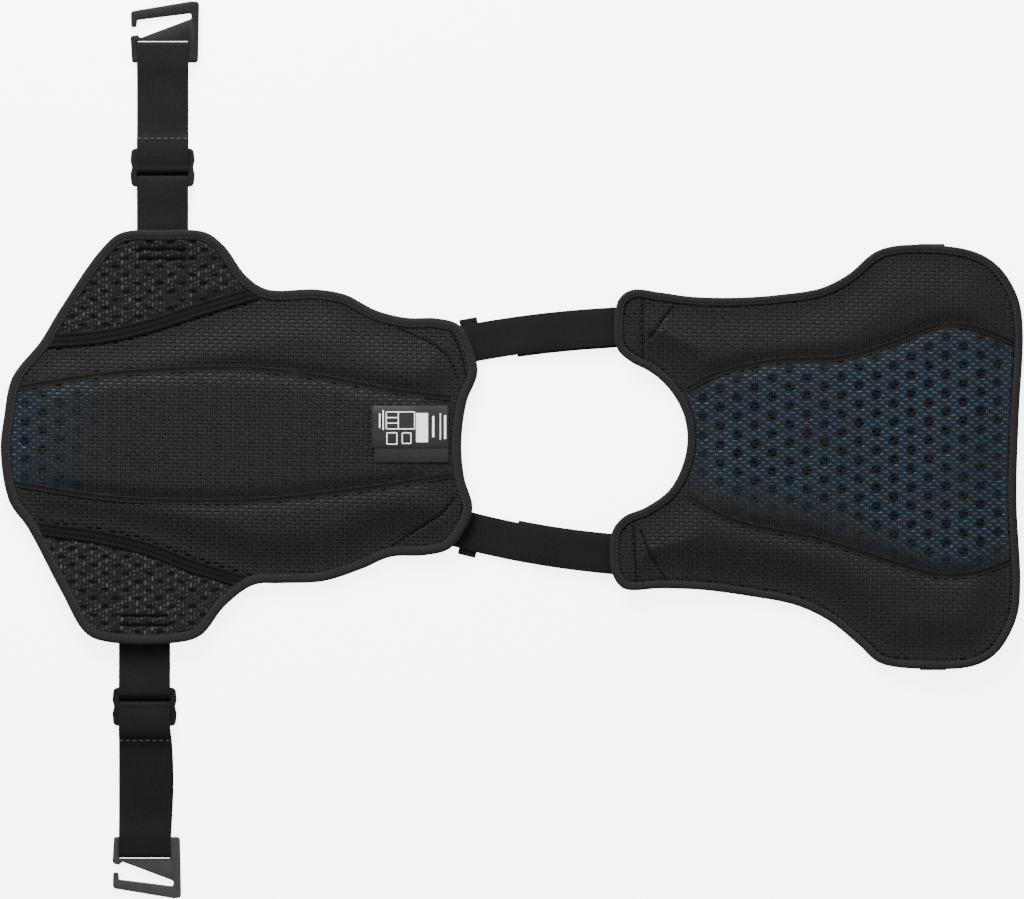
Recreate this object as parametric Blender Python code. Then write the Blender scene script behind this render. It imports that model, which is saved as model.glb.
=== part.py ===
"""Roost deflector laid open with its inner side up: back panel, chest panel, elastic and hooks.

The back panel is on the left (-X), the chest panel on the right (+X), the floor is z = 0.
"""
import math

import bmesh
import bpy
from mathutils import Vector
from mathutils.geometry import delaunay_2d_cdt

# Panels: length runs along X, half width across it, all in metres
BACK_LENGTH = 0.351
BACK_HALF_WIDTH = 0.155
BACK_AXIS_Y = 0.0099
CHEST_LENGTH = 0.3124
CHEST_HALF_WIDTH = 0.1611
CHEST_AXIS_Y = -0.0057
SHOULDER_SPAN = 0.1137

# How far the stiff panels curl up from the floor towards their edges
BACK_END_CURL = 0.0060
BACK_SIDE_CURL = 0.0100
CHEST_END_CURL = 0.0045
CHEST_SIDE_CURL = 0.0100
FLAT_SHARE = 0.35
BACK_MIDDLE = 0.5
CHEST_MIDDLE = 0.6
CHEST_NECK_SHARE = 0.18

# Layers of a panel
COVER_THICKNESS = 0.0020
FOAM_THICKNESS = 0.0090
FOAM_EDGE_THICKNESS = 0.0009
FOAM_ROUNDING = 0.034
FOAM_INSET = 0.0092
LINING_THICKNESS = 0.0018
WING_THICKNESS = 0.0042
GAP = 0.0004
SEAM_DEPTH_SHARE = 0.42
SEAM_HALF_WIDTH = 0.0075

# Tapes
BINDING_DEPTH = 0.0076
BINDING_WALL = 0.0010
WING_TAPE_WIDTH = 0.0080
WING_TAPE_THICKNESS = 0.0012

# Elastic bands
SIDE_STRAP_WIDTH = 0.0392
SIDE_STRAP_THICKNESS = 0.0014
SIDE_STRAP_TUCK = 0.021
UPPER_STRAP_X = 0.1234
LOWER_STRAP_X = 0.1097
UPPER_SLIDER_START = 0.0335
LOWER_SLIDER_START = 0.0345
UPPER_HOOK_START = 0.1278
LOWER_HOOK_START = 0.1480
UNDER_LAYER_DRIFT = 0.0024
SHOULDER_STRAP_WIDTH = 0.0290
SHOULDER_STRAP_THICKNESS = 0.0012
SHOULDER_BACK_TUCK = 0.016
SHOULDER_CHEST_TUCK = 0.022
SHOULDER_RETURN = 0.092
KEEPER_LENGTH = 0.0140
KEEPER_OVERHANG = 0.0045

# Slider and hook, moulded plastic
SLIDER_LENGTH = 0.0292
SLIDER_WIDTH = 0.0490
SLIDER_BAR = 0.0040
SLIDER_THICKNESS = 0.0030
SLOT_CLEARANCE = 0.0012
HOOK_BASE_BAR = 0.0065
HOOK_BASE_SLOT = 0.0105
HOOK_LEFT_LEG = 0.0036
HOOK_RIGHT_LEG = 0.0062
HOOK_LENGTH = 0.0470
HOOK_THICKNESS = 0.0032
HOOK_SLOPE = 0.044
HOOK_LIFT = 0.0002
PLASTIC_EDGE = 0.0005

# Loops under the chest panel that take the hooks, and the folded label at the neck
LOOP_WIDTH = 0.0200
LOOP_LENGTH = 0.0300
LOOP_THICKNESS = 0.0012
LOOP_EYE = 0.0016
LOOP_OVERHANG = 0.0010
LABEL_THICKNESS = 0.0004
LABEL_LENGTH = 0.0590
LABEL_TOP_WIDTH = 0.0320
LABEL_UNDER_WIDTH = 0.0425

# Outlines: each row is (along, across), along as a share of the panel's length from its left end,
# across as a share of its half width from its axis
BACK_HEM = [(0.020, -0.320), (0.001, -0.070), (0.008, 0.090), (0.026, 0.290), (0.087, 0.466)]
BACK_WING_UP = [(0.130, 0.627), (0.218, 0.915), (0.262, 0.998), (0.353, 1.010), (0.444, 1.002),
                (0.486, 0.933), (0.532, 0.790)]
BACK_SIDE_UP = [(0.578, 0.722), (0.683, 0.722), (0.748, 0.696), (0.813, 0.620), (0.880, 0.583),
                (0.945, 0.580)]
BACK_NECK = [(0.992, 0.550), (1.016, 0.466), (1.034, 0.319), (1.010, 0.167), (0.999, -0.030),
             (1.005, -0.200), (1.023, -0.348), (1.008, -0.450), (0.972, -0.552)]
BACK_SIDE_DOWN = [(0.920, -0.583), (0.845, -0.591), (0.785, -0.648), (0.700, -0.710), (0.607, -0.720),
                  (0.550, -0.728)]
BACK_WING_DOWN = [(0.488, -0.828), (0.437, -0.972), (0.395, -1.007), (0.232, -1.007), (0.186, -0.965),
                  (0.130, -0.750), (0.059, -0.446)]
WING_SEAM_UP = [(0.087, 0.466), (0.217, 0.490), (0.323, 0.544), (0.431, 0.623), (0.578, 0.722)]
WING_SEAM_DOWN = [(0.059, -0.446), (0.217, -0.495), (0.323, -0.554), (0.412, -0.632), (0.550, -0.728)]

CHEST_TAB_UP = [(0.050, 0.789), (0.017, 0.745), (0.007, 0.620), (0.013, 0.510), (0.045, 0.450)]
CHEST_NECK = [(0.095, 0.399), (0.140, 0.320), (0.173, 0.210), (0.184, 0.087), (0.172, -0.040),
              (0.140, -0.155), (0.083, -0.236)]
CHEST_TAB_DOWN = [(0.030, -0.280), (0.002, -0.345), (-0.004, -0.450), (0.003, -0.560), (0.030, -0.622)]
CHEST_SIDE_DOWN = [(0.119, -0.620), (0.217, -0.627), (0.338, -0.658), (0.448, -0.700), (0.530, -0.775),
                   (0.600, -0.885), (0.652, -0.972), (0.776, -1.000), (0.880, -0.985), (0.938, -0.920),
                   (0.985, -0.755)]
CHEST_HEM = [(0.994, -0.600), (0.985, -0.200), (0.990, 0.172), (1.000, 0.600)]
CHEST_SIDE_UP = [(0.988, 0.750), (0.945, 0.890), (0.881, 0.969), (0.732, 1.002), (0.645, 0.972),
                 (0.575, 0.862), (0.510, 0.798), (0.411, 0.767), (0.302, 0.752), (0.192, 0.757),
                 (0.119, 0.776)]

# Quilting seams, in the same shares
BACK_SEAM_UP = [(0.037, 0.238), (0.251, 0.309), (0.540, 0.331), (0.737, 0.275), (0.843, 0.228),
                (0.975, 0.190)]
BACK_SEAM_DOWN = [(0.037, -0.233), (0.251, -0.304), (0.540, -0.315), (0.737, -0.271), (0.843, -0.239),
                  (0.975, -0.190)]
BACK_SHOULDER_UP = [(0.865, 0.530), (0.930, 0.460), (0.968, 0.390), (0.990, 0.290)]
BACK_SHOULDER_DOWN = [(0.850, -0.530), (0.915, -0.440), (0.960, -0.370), (0.982, -0.300)]
CHEST_SEAM_UP = [(0.186, 0.320), (0.234, 0.375), (0.382, 0.450), (0.567, 0.470), (0.674, 0.530),
                 (0.798, 0.620), (0.870, 0.615), (0.965, 0.550)]
CHEST_SEAM_DOWN = [(0.186, -0.185), (0.255, -0.267), (0.336, -0.323), (0.497, -0.385), (0.684, -0.498),
                   (0.800, -0.559), (0.890, -0.545), (0.965, -0.495)]
CHEST_TAB_SEAM_UP = [(0.074, 0.735), (0.074, 0.480)]
CHEST_TAB_SEAM_DOWN = [(0.052, -0.325), (0.060, -0.580)]

# Spacing of the faces
CURVE_PIECES = 10
EDGE_STEP = 0.026
EDGE_TURN = math.radians(12)
INNER_STEP = 0.034
SEAM_STEP = 0.034

MATERIALS = {
    "cover_fabric": (0.020, 0.021, 0.023),
    "foam": (0.035, 0.130, 0.300),
    "lining_mesh": (0.028, 0.029, 0.031),
    "spacer_mesh": (0.070, 0.072, 0.076),
    "binding_tape": (0.018, 0.018, 0.020),
    "elastic": (0.016, 0.016, 0.017),
    "plastic": (0.030, 0.031, 0.033),
    "label_satin": (0.012, 0.012, 0.014),
}


def clear_scene():
    for obj in list(bpy.data.objects):
        bpy.data.objects.remove(obj, do_unlink=True)


def make_material(name, colour):
    material = bpy.data.materials.new(name)
    material.use_nodes = True
    shader = material.node_tree.nodes["Principled BSDF"]
    shader.inputs["Base Color"].default_value = (*colour, 1.0)
    shader.inputs["Roughness"].default_value = 0.8
    return material


def add_object(name, mesh_builder, material):
    """Closes a bmesh into a named object of the deflector with its faces outwards."""
    bmesh.ops.recalc_face_normals(mesh_builder, faces=mesh_builder.faces[:])
    if mesh_builder.calc_volume(signed=True) < 0:
        bmesh.ops.reverse_faces(mesh_builder, faces=mesh_builder.faces[:])
    mesh = bpy.data.meshes.new(name)
    mesh_builder.to_mesh(mesh)
    mesh_builder.free()
    mesh.materials.append(material)
    obj = bpy.data.objects.new(name, mesh)
    bpy.data.collections["roost_deflector"].objects.link(obj)
    return obj


def spline_point(before, start, end, after, share):
    """A point between start and end on the centripetal curve through four points."""
    knots = [0.0]
    for first, second in ((before, start), (start, end), (end, after)):
        knots.append(knots[-1] + max((second - first).length, 1e-6) ** 0.5)
    now = knots[1] + share * (knots[2] - knots[1])

    def blend(first, second, low, high):
        return first * ((high - now) / (high - low)) + second * ((now - low) / (high - low))

    one = blend(before, start, knots[0], knots[1])
    two = blend(start, end, knots[1], knots[2])
    three = blend(end, after, knots[2], knots[3])
    return blend(blend(one, two, knots[0], knots[2]), blend(two, three, knots[1], knots[3]),
                 knots[1], knots[2])


def smooth_curve(points, closed, pieces=CURVE_PIECES):
    """A fine curve through the points."""
    points = [Vector(point) for point in points]
    count = len(points)
    fine = []
    for index in range(count if closed else count - 1):
        if closed:
            four = [points[(index + shift) % count] for shift in (-1, 0, 1, 2)]
        else:
            four = [points[min(max(index + shift, 0), count - 1)] for shift in (-1, 0, 1, 2)]
            if index == 0:
                four[0] = points[0] * 2 - points[1]
            if index == count - 2:
                four[3] = points[-1] * 2 - points[-2]
        fine += [spline_point(*four, piece / pieces) for piece in range(pieces)]
    if not closed:
        fine.append(points[-1])
    return fine


def thin_out(fine, closed, step=EDGE_STEP, turn=EDGE_TURN, shortest=0.0035):
    """Keeps the points of a fine curve that its bends need, and no stretch longer than step."""
    kept = [fine[0]]
    turned = 0.0
    for index in range(1, len(fine) - 1):
        ahead = fine[index + 1] - fine[index]
        behind = fine[index] - fine[index - 1]
        if ahead.length > 1e-7 and behind.length > 1e-7:
            turned += ahead.angle(behind)
        run = (fine[index] - kept[-1]).length
        if run > shortest and (turned > turn or run + ahead.length > step):
            kept.append(fine[index])
            turned = 0.0
    if not closed or (fine[-1] - kept[0]).length > shortest:
        kept.append(fine[-1])
    return kept


def distance(point, line, closed):
    """Distance from a point to a line of points."""
    best = 1.0
    for index in range(len(line) if closed else len(line) - 1):
        start = line[index]
        leg = line[(index + 1) % len(line)] - start
        share = (point - start).dot(leg) / max(leg.length_squared, 1e-12)
        best = min(best, (start + leg * min(max(share, 0.0), 1.0) - point).length)
    return best


def is_inside(point, loop):
    inside = False
    for index, end in enumerate(loop):
        start = loop[index - 1]
        if (start.y > point.y) != (end.y > point.y):
            if point.x < start.x + (point.y - start.y) / (end.y - start.y) * (end.x - start.x):
                inside = not inside
    return inside


def inward(loop, index):
    """Unit vector from a loop's point into the loop, which runs clockwise or anticlockwise."""
    along = (loop[(index + 1) % len(loop)] - loop[index - 1]).normalized()
    side = Vector((-along.y, along.x))
    area = sum(loop[i - 1].x * p.y - p.x * loop[i - 1].y for i, p in enumerate(loop))
    return side if area > 0 else -side


def inset_loop(loop, depth):
    """The loop moved inwards by depth, without the points that tight corners fold over."""
    moved = []
    for index, point in enumerate(loop):
        behind = (point - loop[index - 1]).normalized()
        ahead = (loop[(index + 1) % len(loop)] - point).normalized()
        moved.append(point + inward(loop, index) * depth / max((behind + ahead).length / 2, 0.25))
    return [point for point in moved
            if is_inside(point, loop) and distance(point, loop, True) > depth * 0.985]


def smoothstep(share):
    share = min(max(share, 0.0), 1.0)
    return share * share * (3 - 2 * share)


def curl_share(share):
    """0 in the flat middle of a panel, 1 at its edge, and on in a straight line beyond."""
    bent = (min(share, 1.0) - FLAT_SHARE) / (1 - FLAT_SHARE)
    beyond = max(share - 1.0, 0.0) * 2 / (1 - FLAT_SHARE)
    return max(bent, 0.0) ** 2 + beyond


class Panel:
    """Place, size and curl of one panel, and the heights of its layers."""

    def __init__(self, left_x, axis_y, length, half_width, middle, left_edge, end_curl, side_curl):
        self.left_x = left_x
        self.axis_y = axis_y
        self.length = length
        self.half_width = half_width
        self.middle = middle
        self.left_edge = left_edge
        self.end_curl = end_curl
        self.side_curl = side_curl

    def place(self, rows):
        return [Vector((self.left_x + along * self.length, self.axis_y + across * self.half_width))
                for along, across in rows]

    def curl(self, point):
        """Height of the panel's outer side above the floor."""
        along = (point.x - self.left_x) / self.length
        reach = (1 - self.middle) if along > self.middle else self.middle - self.left_edge
        across = abs(point.y - self.axis_y) / self.half_width
        ends = self.end_curl * curl_share(abs(along - self.middle) / reach)
        return ends + self.side_curl * curl_share(across)

    def body(self, outline, seams):
        self.outline = outline
        self.seams = seams

    def foam_height(self, point):
        """Thickness of the foam: thin at its edge, full further in, pressed down by the seams."""
        depth = distance(point, self.outline, True) - FOAM_INSET
        full = FOAM_EDGE_THICKNESS + (FOAM_THICKNESS - FOAM_EDGE_THICKNESS) * smoothstep(
            depth / FOAM_ROUNDING)
        near = min(distance(point, seam, False) for seam in self.seams)
        press = SEAM_DEPTH_SHARE * math.exp(-(near / SEAM_HALF_WIDTH) ** 2)
        return full * (1 - press * smoothstep(depth / FOAM_ROUNDING))

    def foam_bottom(self, point):
        return self.curl(point) + COVER_THICKNESS + GAP

    def lining_bottom(self, point):
        """The lining lies on the foam and comes down on the cover at the edge."""
        base = self.foam_bottom(point)
        if distance(point, self.outline, True) < FOAM_INSET * 0.9:
            return base
        return base + self.foam_height(point) + GAP

    def lining_top(self, point):
        return self.lining_bottom(point) + LINING_THICKNESS

    def under(self, point, half_width):
        """Lowest height of the panel's outer side over a band of this half width across Y."""
        return min(self.curl(point + Vector((0, sideways))) for sideways in (-half_width, 0, half_width))


def plan_mesh(loop, extra_loops, lines, step):
    """Triangles that fill a loop, with the edges of the extra loops and lines kept."""
    points = list(loop)
    edges = [(index, (index + 1) % len(loop)) for index in range(len(loop))]
    for extra in extra_loops:
        first = len(points)
        points += extra
        edges += [(first + index, first + (index + 1) % len(extra)) for index in range(len(extra))]
    for line in lines:
        first = len(points)
        points += line
        edges += [(first + index, first + index + 1) for index in range(len(line) - 1)]
    fixed = list(points)
    low_x = min(point.x for point in loop)
    high_x = max(point.x for point in loop)
    low_y = min(point.y for point in loop)
    high_y = max(point.y for point in loop)
    rows = int((high_y - low_y) / (step * 0.87)) + 1
    columns = int((high_x - low_x) / step) + 2
    for row in range(rows):
        for column in range(columns):
            spot = Vector((low_x + (column + 0.5 * (row % 2)) * step, low_y + (row + 0.5) * step * 0.87))
            if is_inside(spot, loop) and min((spot - other).length for other in fixed) > step * 0.55:
                points.append(spot)
    verts, _, faces, _, _, _ = delaunay_2d_cdt(points, edges, [], 0, 1e-7)
    kept = []
    for face in faces:
        corners = [verts[index] for index in face]
        middle = (corners[0] + corners[1] + corners[2]) / 3
        area = abs((corners[1] - corners[0]).cross(corners[2] - corners[0])) / 2
        if area > 1e-9 and is_inside(middle, loop):
            kept.append(tuple(face))
    return verts, kept


def add_slab(name, verts, faces, bottom, top, material):
    """A solid over the triangles, between two heights that are functions of the place."""
    builder = bmesh.new()
    used = sorted({index for face in faces for index in face})
    low = {index: builder.verts.new((*verts[index], bottom(verts[index]))) for index in used}
    high = {index: builder.verts.new((*verts[index], top(verts[index]))) for index in used}
    sides = {}
    for face in faces:
        builder.faces.new([high[index] for index in face])
        builder.faces.new([low[index] for index in reversed(face)])
        for start, end in zip(face, face[1:] + face[:1]):
            if (end, start) in sides:
                del sides[(end, start)]
            else:
                sides[(start, end)] = True
    for start, end in sides:
        builder.faces.new((low[start], low[end], high[end], high[start]))
    return add_object(name, builder, material)


def add_binding(name, outline, panel, thickness, material):
    """Tape with a C-shaped section that wraps the edge of the stacked layers all the way round."""
    wall = BINDING_WALL
    flare = FOAM_EDGE_THICKNESS + GAP
    section = [(0.0, -GAP - wall), (BINDING_DEPTH, -GAP - wall), (BINDING_DEPTH, -GAP), (wall, -GAP),
               (wall, thickness + GAP), (BINDING_DEPTH, thickness + GAP + flare),
               (BINDING_DEPTH, thickness + GAP + flare + wall), (0.0, thickness + GAP + wall * 0.9)]
    builder = bmesh.new()
    rings = []
    for index, point in enumerate(outline):
        into = inward(outline, index)
        base = panel.curl(point)
        fall = panel.curl(point + into * BINDING_DEPTH) - base
        rings.append([builder.verts.new((*(point + into * depth),
                                         base + fall * depth / BINDING_DEPTH + height))
                      for depth, height in section])
    for index, ring in enumerate(rings):
        other = rings[(index + 1) % len(rings)]
        for corner in range(len(section)):
            following = (corner + 1) % len(section)
            builder.faces.new((ring[corner], ring[following], other[following], other[corner]))
    return add_object(name, builder, material)


def add_ribbon(name, rows, width, thickness, place, material):
    """A band bent along rows of (run, height, drift); place turns (run, across) into x and y."""
    builder = bmesh.new()
    rings = []
    for index, (run, height, drift) in enumerate(rows):
        ahead = rows[min(index + 1, len(rows) - 1)]
        behind = rows[max(index - 1, 0)]
        along = Vector((ahead[0] - behind[0], ahead[1] - behind[1])).normalized()
        normal = Vector((-along.y, along.x)) * thickness / 2
        ring = []
        for side, across in ((1, -width / 2), (1, width / 2), (-1, width / 2), (-1, -width / 2)):
            spot = place(run + side * normal.x, across + drift)
            ring.append(builder.verts.new((spot.x, spot.y, height + side * normal.y)))
        rings.append(ring)
    for ring, other in zip(rings, rings[1:]):
        for corner in range(4):
            following = (corner + 1) % 4
            builder.faces.new((ring[corner], ring[following], other[following], other[corner]))
    builder.faces.new(rings[0])
    builder.faces.new(rings[-1])
    return add_object(name, builder, material)


def arc_rows(centre_run, centre_height, radius, start_degrees, end_degrees, steps, drift=0.0):
    rows = []
    for step in range(steps + 1):
        angle = math.radians(start_degrees + (end_degrees - start_degrees) * step / steps)
        rows.append((centre_run + radius * math.cos(angle), centre_height + radius * math.sin(angle),
                     drift))
    return rows


def rounded_outline(rows, steps=4):
    """Corner points of rows of (x, y, radius), each corner rounded to its radius."""
    points = []
    for index, (x, y, radius) in enumerate(rows):
        corner = Vector((x, y))
        before = Vector(rows[index - 1][:2]) - corner
        after = Vector(rows[(index + 1) % len(rows)][:2]) - corner
        if radius <= 0:
            points.append(corner)
            continue
        half = before.angle(after) / 2
        reach = min(radius / math.tan(half), before.length * 0.48, after.length * 0.48)
        start = corner + before.normalized() * reach
        end = corner + after.normalized() * reach
        for step in range(steps + 1):
            share = step / steps
            one = start.lerp(corner, share)
            two = corner.lerp(end, share)
            points.append(one.lerp(two, share))
    return points


def add_plate(name, outer, holes, thickness, material, move):
    """A moulded plate: outlines filled and thickened as a curve, then moved into place."""
    curve = bpy.data.curves.new(name, "CURVE")
    curve.dimensions = "2D"
    curve.fill_mode = "BOTH"
    curve.extrude = thickness / 2 - PLASTIC_EDGE
    curve.bevel_depth = PLASTIC_EDGE
    curve.bevel_resolution = 0
    curve.offset = -PLASTIC_EDGE
    for loop in [outer, *[hole[::-1] for hole in holes]]:
        spline = curve.splines.new("POLY")
        spline.points.add(len(loop) - 1)
        for point, spot in zip(spline.points, loop):
            point.co = (spot.x, spot.y, 0.0, 1.0)
        spline.use_cyclic_u = True
    holder = bpy.data.objects.new(name + "_curve", curve)
    mesh = bpy.data.meshes.new_from_object(holder)
    builder = bmesh.new()
    builder.from_mesh(mesh)
    bmesh.ops.remove_doubles(builder, verts=builder.verts[:], dist=0.00005)
    for vert in builder.verts:
        vert.co = move(vert.co)
    bpy.data.objects.remove(holder, do_unlink=True)
    bpy.data.curves.remove(curve)
    bpy.data.meshes.remove(mesh)
    return add_object(name, builder, material)


def side_strap_rows(panel, edge, outward, slider_start, hook_start, drift):
    """The side of one elastic: under the wing, through the slider, round the hook bar and back."""
    half = SIDE_STRAP_THICKNESS / 2
    clear = half + GAP
    pitch = SIDE_STRAP_THICKNESS + GAP
    floor_layer = half + GAP * 0.75
    bar_low = floor_layer + pitch + clear
    bar_high = bar_low + SLIDER_THICKNESS
    over_bar = bar_high + clear
    slot = (SLIDER_LENGTH - 3 * SLIDER_BAR) / 2
    first_bar = slider_start + SLIDER_BAR
    middle_bar = first_bar + slot
    middle_bar_end = middle_bar + SLIDER_BAR
    last_bar = middle_bar_end + slot
    last_bar_end = last_bar + SLIDER_BAR
    hang = BINDING_WALL + 2 * GAP + half

    def below_wing(run):
        return panel.under(Vector((edge.x, edge.y + outward * run)), 0.0)

    rows = [(-SIDE_STRAP_TUCK, below_wing(-SIDE_STRAP_TUCK) - clear, 0.0),
            (-BINDING_DEPTH - 0.002, below_wing(-BINDING_DEPTH - 0.002) - hang, 0.0),
            (0.0, below_wing(0.0) - hang - 0.0012, 0.0),
            (slider_start * 0.45, over_bar - 0.0022, 0.0),
            (slider_start - 0.004, over_bar - 0.0004, 0.0),
            (slider_start + SLIDER_BAR * 0.5, over_bar, 0.0),
            (first_bar + 0.0012, over_bar - 0.0002, 0.0),
            (first_bar + 0.0026, over_bar - 0.0014, 0.0),
            (first_bar + 0.0034, (bar_low + bar_high) / 2, 0.0),
            (first_bar + 0.0042, floor_layer + 0.0012, 0.0),
            (first_bar + 0.0062, floor_layer, 0.0),
            (last_bar_end + 0.002, floor_layer, 0.0),
            (last_bar_end + 0.012, floor_layer, drift * 0.5),
            (last_bar_end + 0.5 * (hook_start - last_bar_end), floor_layer, drift),
            (hook_start - 0.006, floor_layer, drift * 0.4)]
    turn_low = floor_layer
    hook_low = floor_layer + clear + HOOK_LIFT
    turn_high = hook_low + HOOK_THICKNESS + clear
    turn_radius = (turn_high - turn_low) / 2
    turn_run = hook_start + HOOK_BASE_BAR + HOOK_BASE_SLOT - 0.0010 - half - turn_radius
    rows += arc_rows(turn_run, turn_low + turn_radius, turn_radius, -90, 90, 8)
    rows += [(hook_start - 0.002, turn_high - 0.0001, 0.0),
             (hook_start - 0.010, floor_layer + pitch * 1.9, 0.0),
             (hook_start - 0.020, floor_layer + pitch + 0.0002, 0.0),
             (last_bar_end + 0.026, floor_layer + pitch + 0.0002, 0.0),
             (last_bar_end + 0.017, floor_layer + pitch * 1.35, 0.0),
             (last_bar_end + 0.011, floor_layer + pitch * 2.15, 0.0),
             (last_bar_end + 0.0065, over_bar + 0.0004, 0.0),
             (last_bar_end + 0.0015, over_bar + pitch * 0.98, 0.0),
             (last_bar + 0.0005, over_bar + pitch, 0.0),
             (last_bar - 0.0045, over_bar + 0.0012, 0.0),
             (middle_bar_end - 0.0010, over_bar, 0.0)]
    loop_radius = SLIDER_THICKNESS / 2 + clear
    rows += arc_rows(middle_bar + 0.0015, (bar_low + bar_high) / 2, loop_radius, 90, 270, 8)
    rows += [(middle_bar_end - 0.0010, bar_low - clear, 0.0),
             (middle_bar_end + 0.0018, bar_low - clear + 0.0003, 0.0),
             (middle_bar_end + 0.0042, bar_low + 0.0010, 0.0),
             (last_bar - 0.0026, bar_high - 0.0004, 0.0),
             (last_bar - 0.0004, over_bar - 0.0001, 0.0),
             (last_bar_end + 0.0006, over_bar, 0.0),
             (last_bar_end + 0.0032, over_bar - 0.0010, 0.0),
             (last_bar_end + 0.0068, floor_layer + pitch * 1.55, 0.0),
             (last_bar_end + 0.0095, floor_layer + pitch, 0.0)]
    return rows, bar_low, hook_low


def slider_outline():
    """Half-round ears with a notch between them on both sides."""
    half_length = SLIDER_LENGTH / 2
    half_width = SLIDER_WIDTH / 2
    waist = half_width - 0.0012
    return rounded_outline([(-half_width + 0.0008, -half_length, 0.0040),
                            (half_width - 0.0008, -half_length, 0.0040),
                            (half_width, -half_length * 0.35, 0.0030), (waist, 0.0, 0.0015),
                            (half_width, half_length * 0.35, 0.0030),
                            (half_width - 0.0008, half_length, 0.0040),
                            (-half_width + 0.0008, half_length, 0.0040),
                            (-half_width, half_length * 0.35, 0.0030), (-waist, 0.0, 0.0015),
                            (-half_width, -half_length * 0.35, 0.0030)], 3)


def slot_outline(low, high, half_width, radius):
    return rounded_outline([(-half_width, low, radius), (half_width, low, radius),
                            (half_width, high, radius), (-half_width, high, radius)], 2)


def hook_outline(slot_half):
    """Hook seen from above: base at y = 0, arm along the top, mouth open on the left."""
    left = -slot_half - HOOK_LEFT_LEG
    right = slot_half + HOOK_RIGHT_LEG
    top = HOOK_LENGTH
    return rounded_outline([(left + 0.0010, 0.0, 0.0020), (right, 0.0, 0.0030),
                            (right + 0.0008, top * 0.99, 0.0095), (right - 0.0050, top, 0.0060),
                            (left, top * 0.835, 0.0030), (left + 0.0004, top * 0.575, 0.0018),
                            (left + 0.0046, top * 0.575, 0.0018), (left + 0.0050, top * 0.690, 0.0012),
                            (right - 0.0052, top * 0.800, 0.0018),
                            (right - 0.0052, top * 0.715, 0.0020),
                            (left + 0.0075, top * 0.405, 0.0015), (left + 0.0052, top * 0.455, 0.0012),
                            (left - 0.0002, top * 0.435, 0.0026)], 3)


def back_panel(panel, materials):
    """The back's outline in four stretches; body and wings share them with the binding."""
    stretches = [BACK_HEM, BACK_WING_UP, BACK_SIDE_UP + BACK_NECK + BACK_SIDE_DOWN, BACK_WING_DOWN]
    fine = smooth_curve(panel.place([row for rows in stretches for row in rows]), True, CURVE_PIECES)
    ends = []
    first = 0
    for rows in stretches:
        ends.append(first * CURVE_PIECES)
        first += len(rows)
    hem_start = ends[3] + (len(BACK_WING_DOWN) - 1) * CURVE_PIECES
    hem_end = ends[0] + (len(BACK_HEM) - 1) * CURVE_PIECES
    neck_end = ends[3] - CURVE_PIECES
    hem = thin_out(fine[hem_start:] + fine[:hem_end + 1], False)
    wing_up = thin_out(fine[hem_end:ends[2] + 1], False)
    neck = thin_out(fine[ends[2]:neck_end + 1], False)
    wing_down = thin_out(fine[neck_end:hem_start + 1], False)
    outline = hem[:-1] + wing_up[:-1] + neck[:-1] + wing_down[:-1]
    seam_up = smooth_curve(panel.place(WING_SEAM_UP), False)
    seam_down = smooth_curve(panel.place(WING_SEAM_DOWN), False)
    short_up = thin_out(seam_up, False)
    short_down = thin_out(seam_down[::-1], False)
    body = hem[:-1] + short_up[:-1] + neck[:-1] + short_down[:-1]
    seams = [thin_out(smooth_curve(panel.place(rows), False), False, SEAM_STEP)
             for rows in (BACK_SEAM_UP, BACK_SEAM_DOWN, BACK_SHOULDER_UP, BACK_SHOULDER_DOWN)]
    build_panel("back", panel, outline, body, seams, materials)
    build_wing("upper", panel, wing_up[:-1] + short_up[::-1][:-1], seam_up, outline, materials)
    build_wing("lower", panel, wing_down[:-1] + short_down[::-1][:-1], seam_down, outline, materials)


def chest_panel(panel, materials):
    outline = thin_out(smooth_curve(panel.place(
        CHEST_TAB_UP + CHEST_NECK + CHEST_TAB_DOWN + CHEST_SIDE_DOWN + CHEST_HEM + CHEST_SIDE_UP),
        True), True)
    seams = [thin_out(smooth_curve(panel.place(rows), False), False, SEAM_STEP)
             for rows in (CHEST_SEAM_UP, CHEST_SEAM_DOWN, CHEST_TAB_SEAM_UP, CHEST_TAB_SEAM_DOWN)]
    build_panel("chest", panel, outline, outline, seams, materials)


def offset_line(line, side):
    """An open line moved sideways."""
    moved = []
    for index, point in enumerate(line):
        ahead = line[min(index + 1, len(line) - 1)]
        along = (ahead - line[max(index - 1, 0)]).normalized()
        moved.append(point + Vector((-along.y, along.x)) * side)
    return moved


def build_panel(name, panel, outline, body, seams, materials):
    """Cover, foam and lining stacked with small gaps, and the binding round their edge."""
    panel.body(body, seams)
    edge = inset_loop(body, BINDING_WALL + GAP)
    foam_edge = inset_loop(body, FOAM_INSET)
    seam_lines = []
    for seam in seams:
        for side in (-SEAM_HALF_WIDTH * 1.2, 0.0, SEAM_HALF_WIDTH * 1.2):
            seam_lines.append([point for point in offset_line(seam, side)
                               if is_inside(point, foam_edge)
                               and distance(point, foam_edge, True) > 0.004])
    verts, faces = plan_mesh(edge, [foam_edge], seam_lines, INNER_STEP)
    in_foam = [face for face in faces
               if is_inside(sum((verts[index] for index in face), Vector((0, 0))) / 3, foam_edge)]
    add_slab(name + "_cover", verts, faces, panel.curl,
             lambda point: panel.curl(point) + COVER_THICKNESS, materials["cover_fabric"])
    add_slab(name + "_foam", verts, in_foam, panel.foam_bottom,
             lambda point: panel.foam_bottom(point) + panel.foam_height(point), materials["foam"])
    add_slab(name + "_lining", verts, faces, panel.lining_bottom, panel.lining_top,
             materials["lining_mesh"])
    add_binding(name + "_binding", outline, panel, COVER_THICKNESS + GAP + LINING_THICKNESS,
                materials["binding_tape"])


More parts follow.
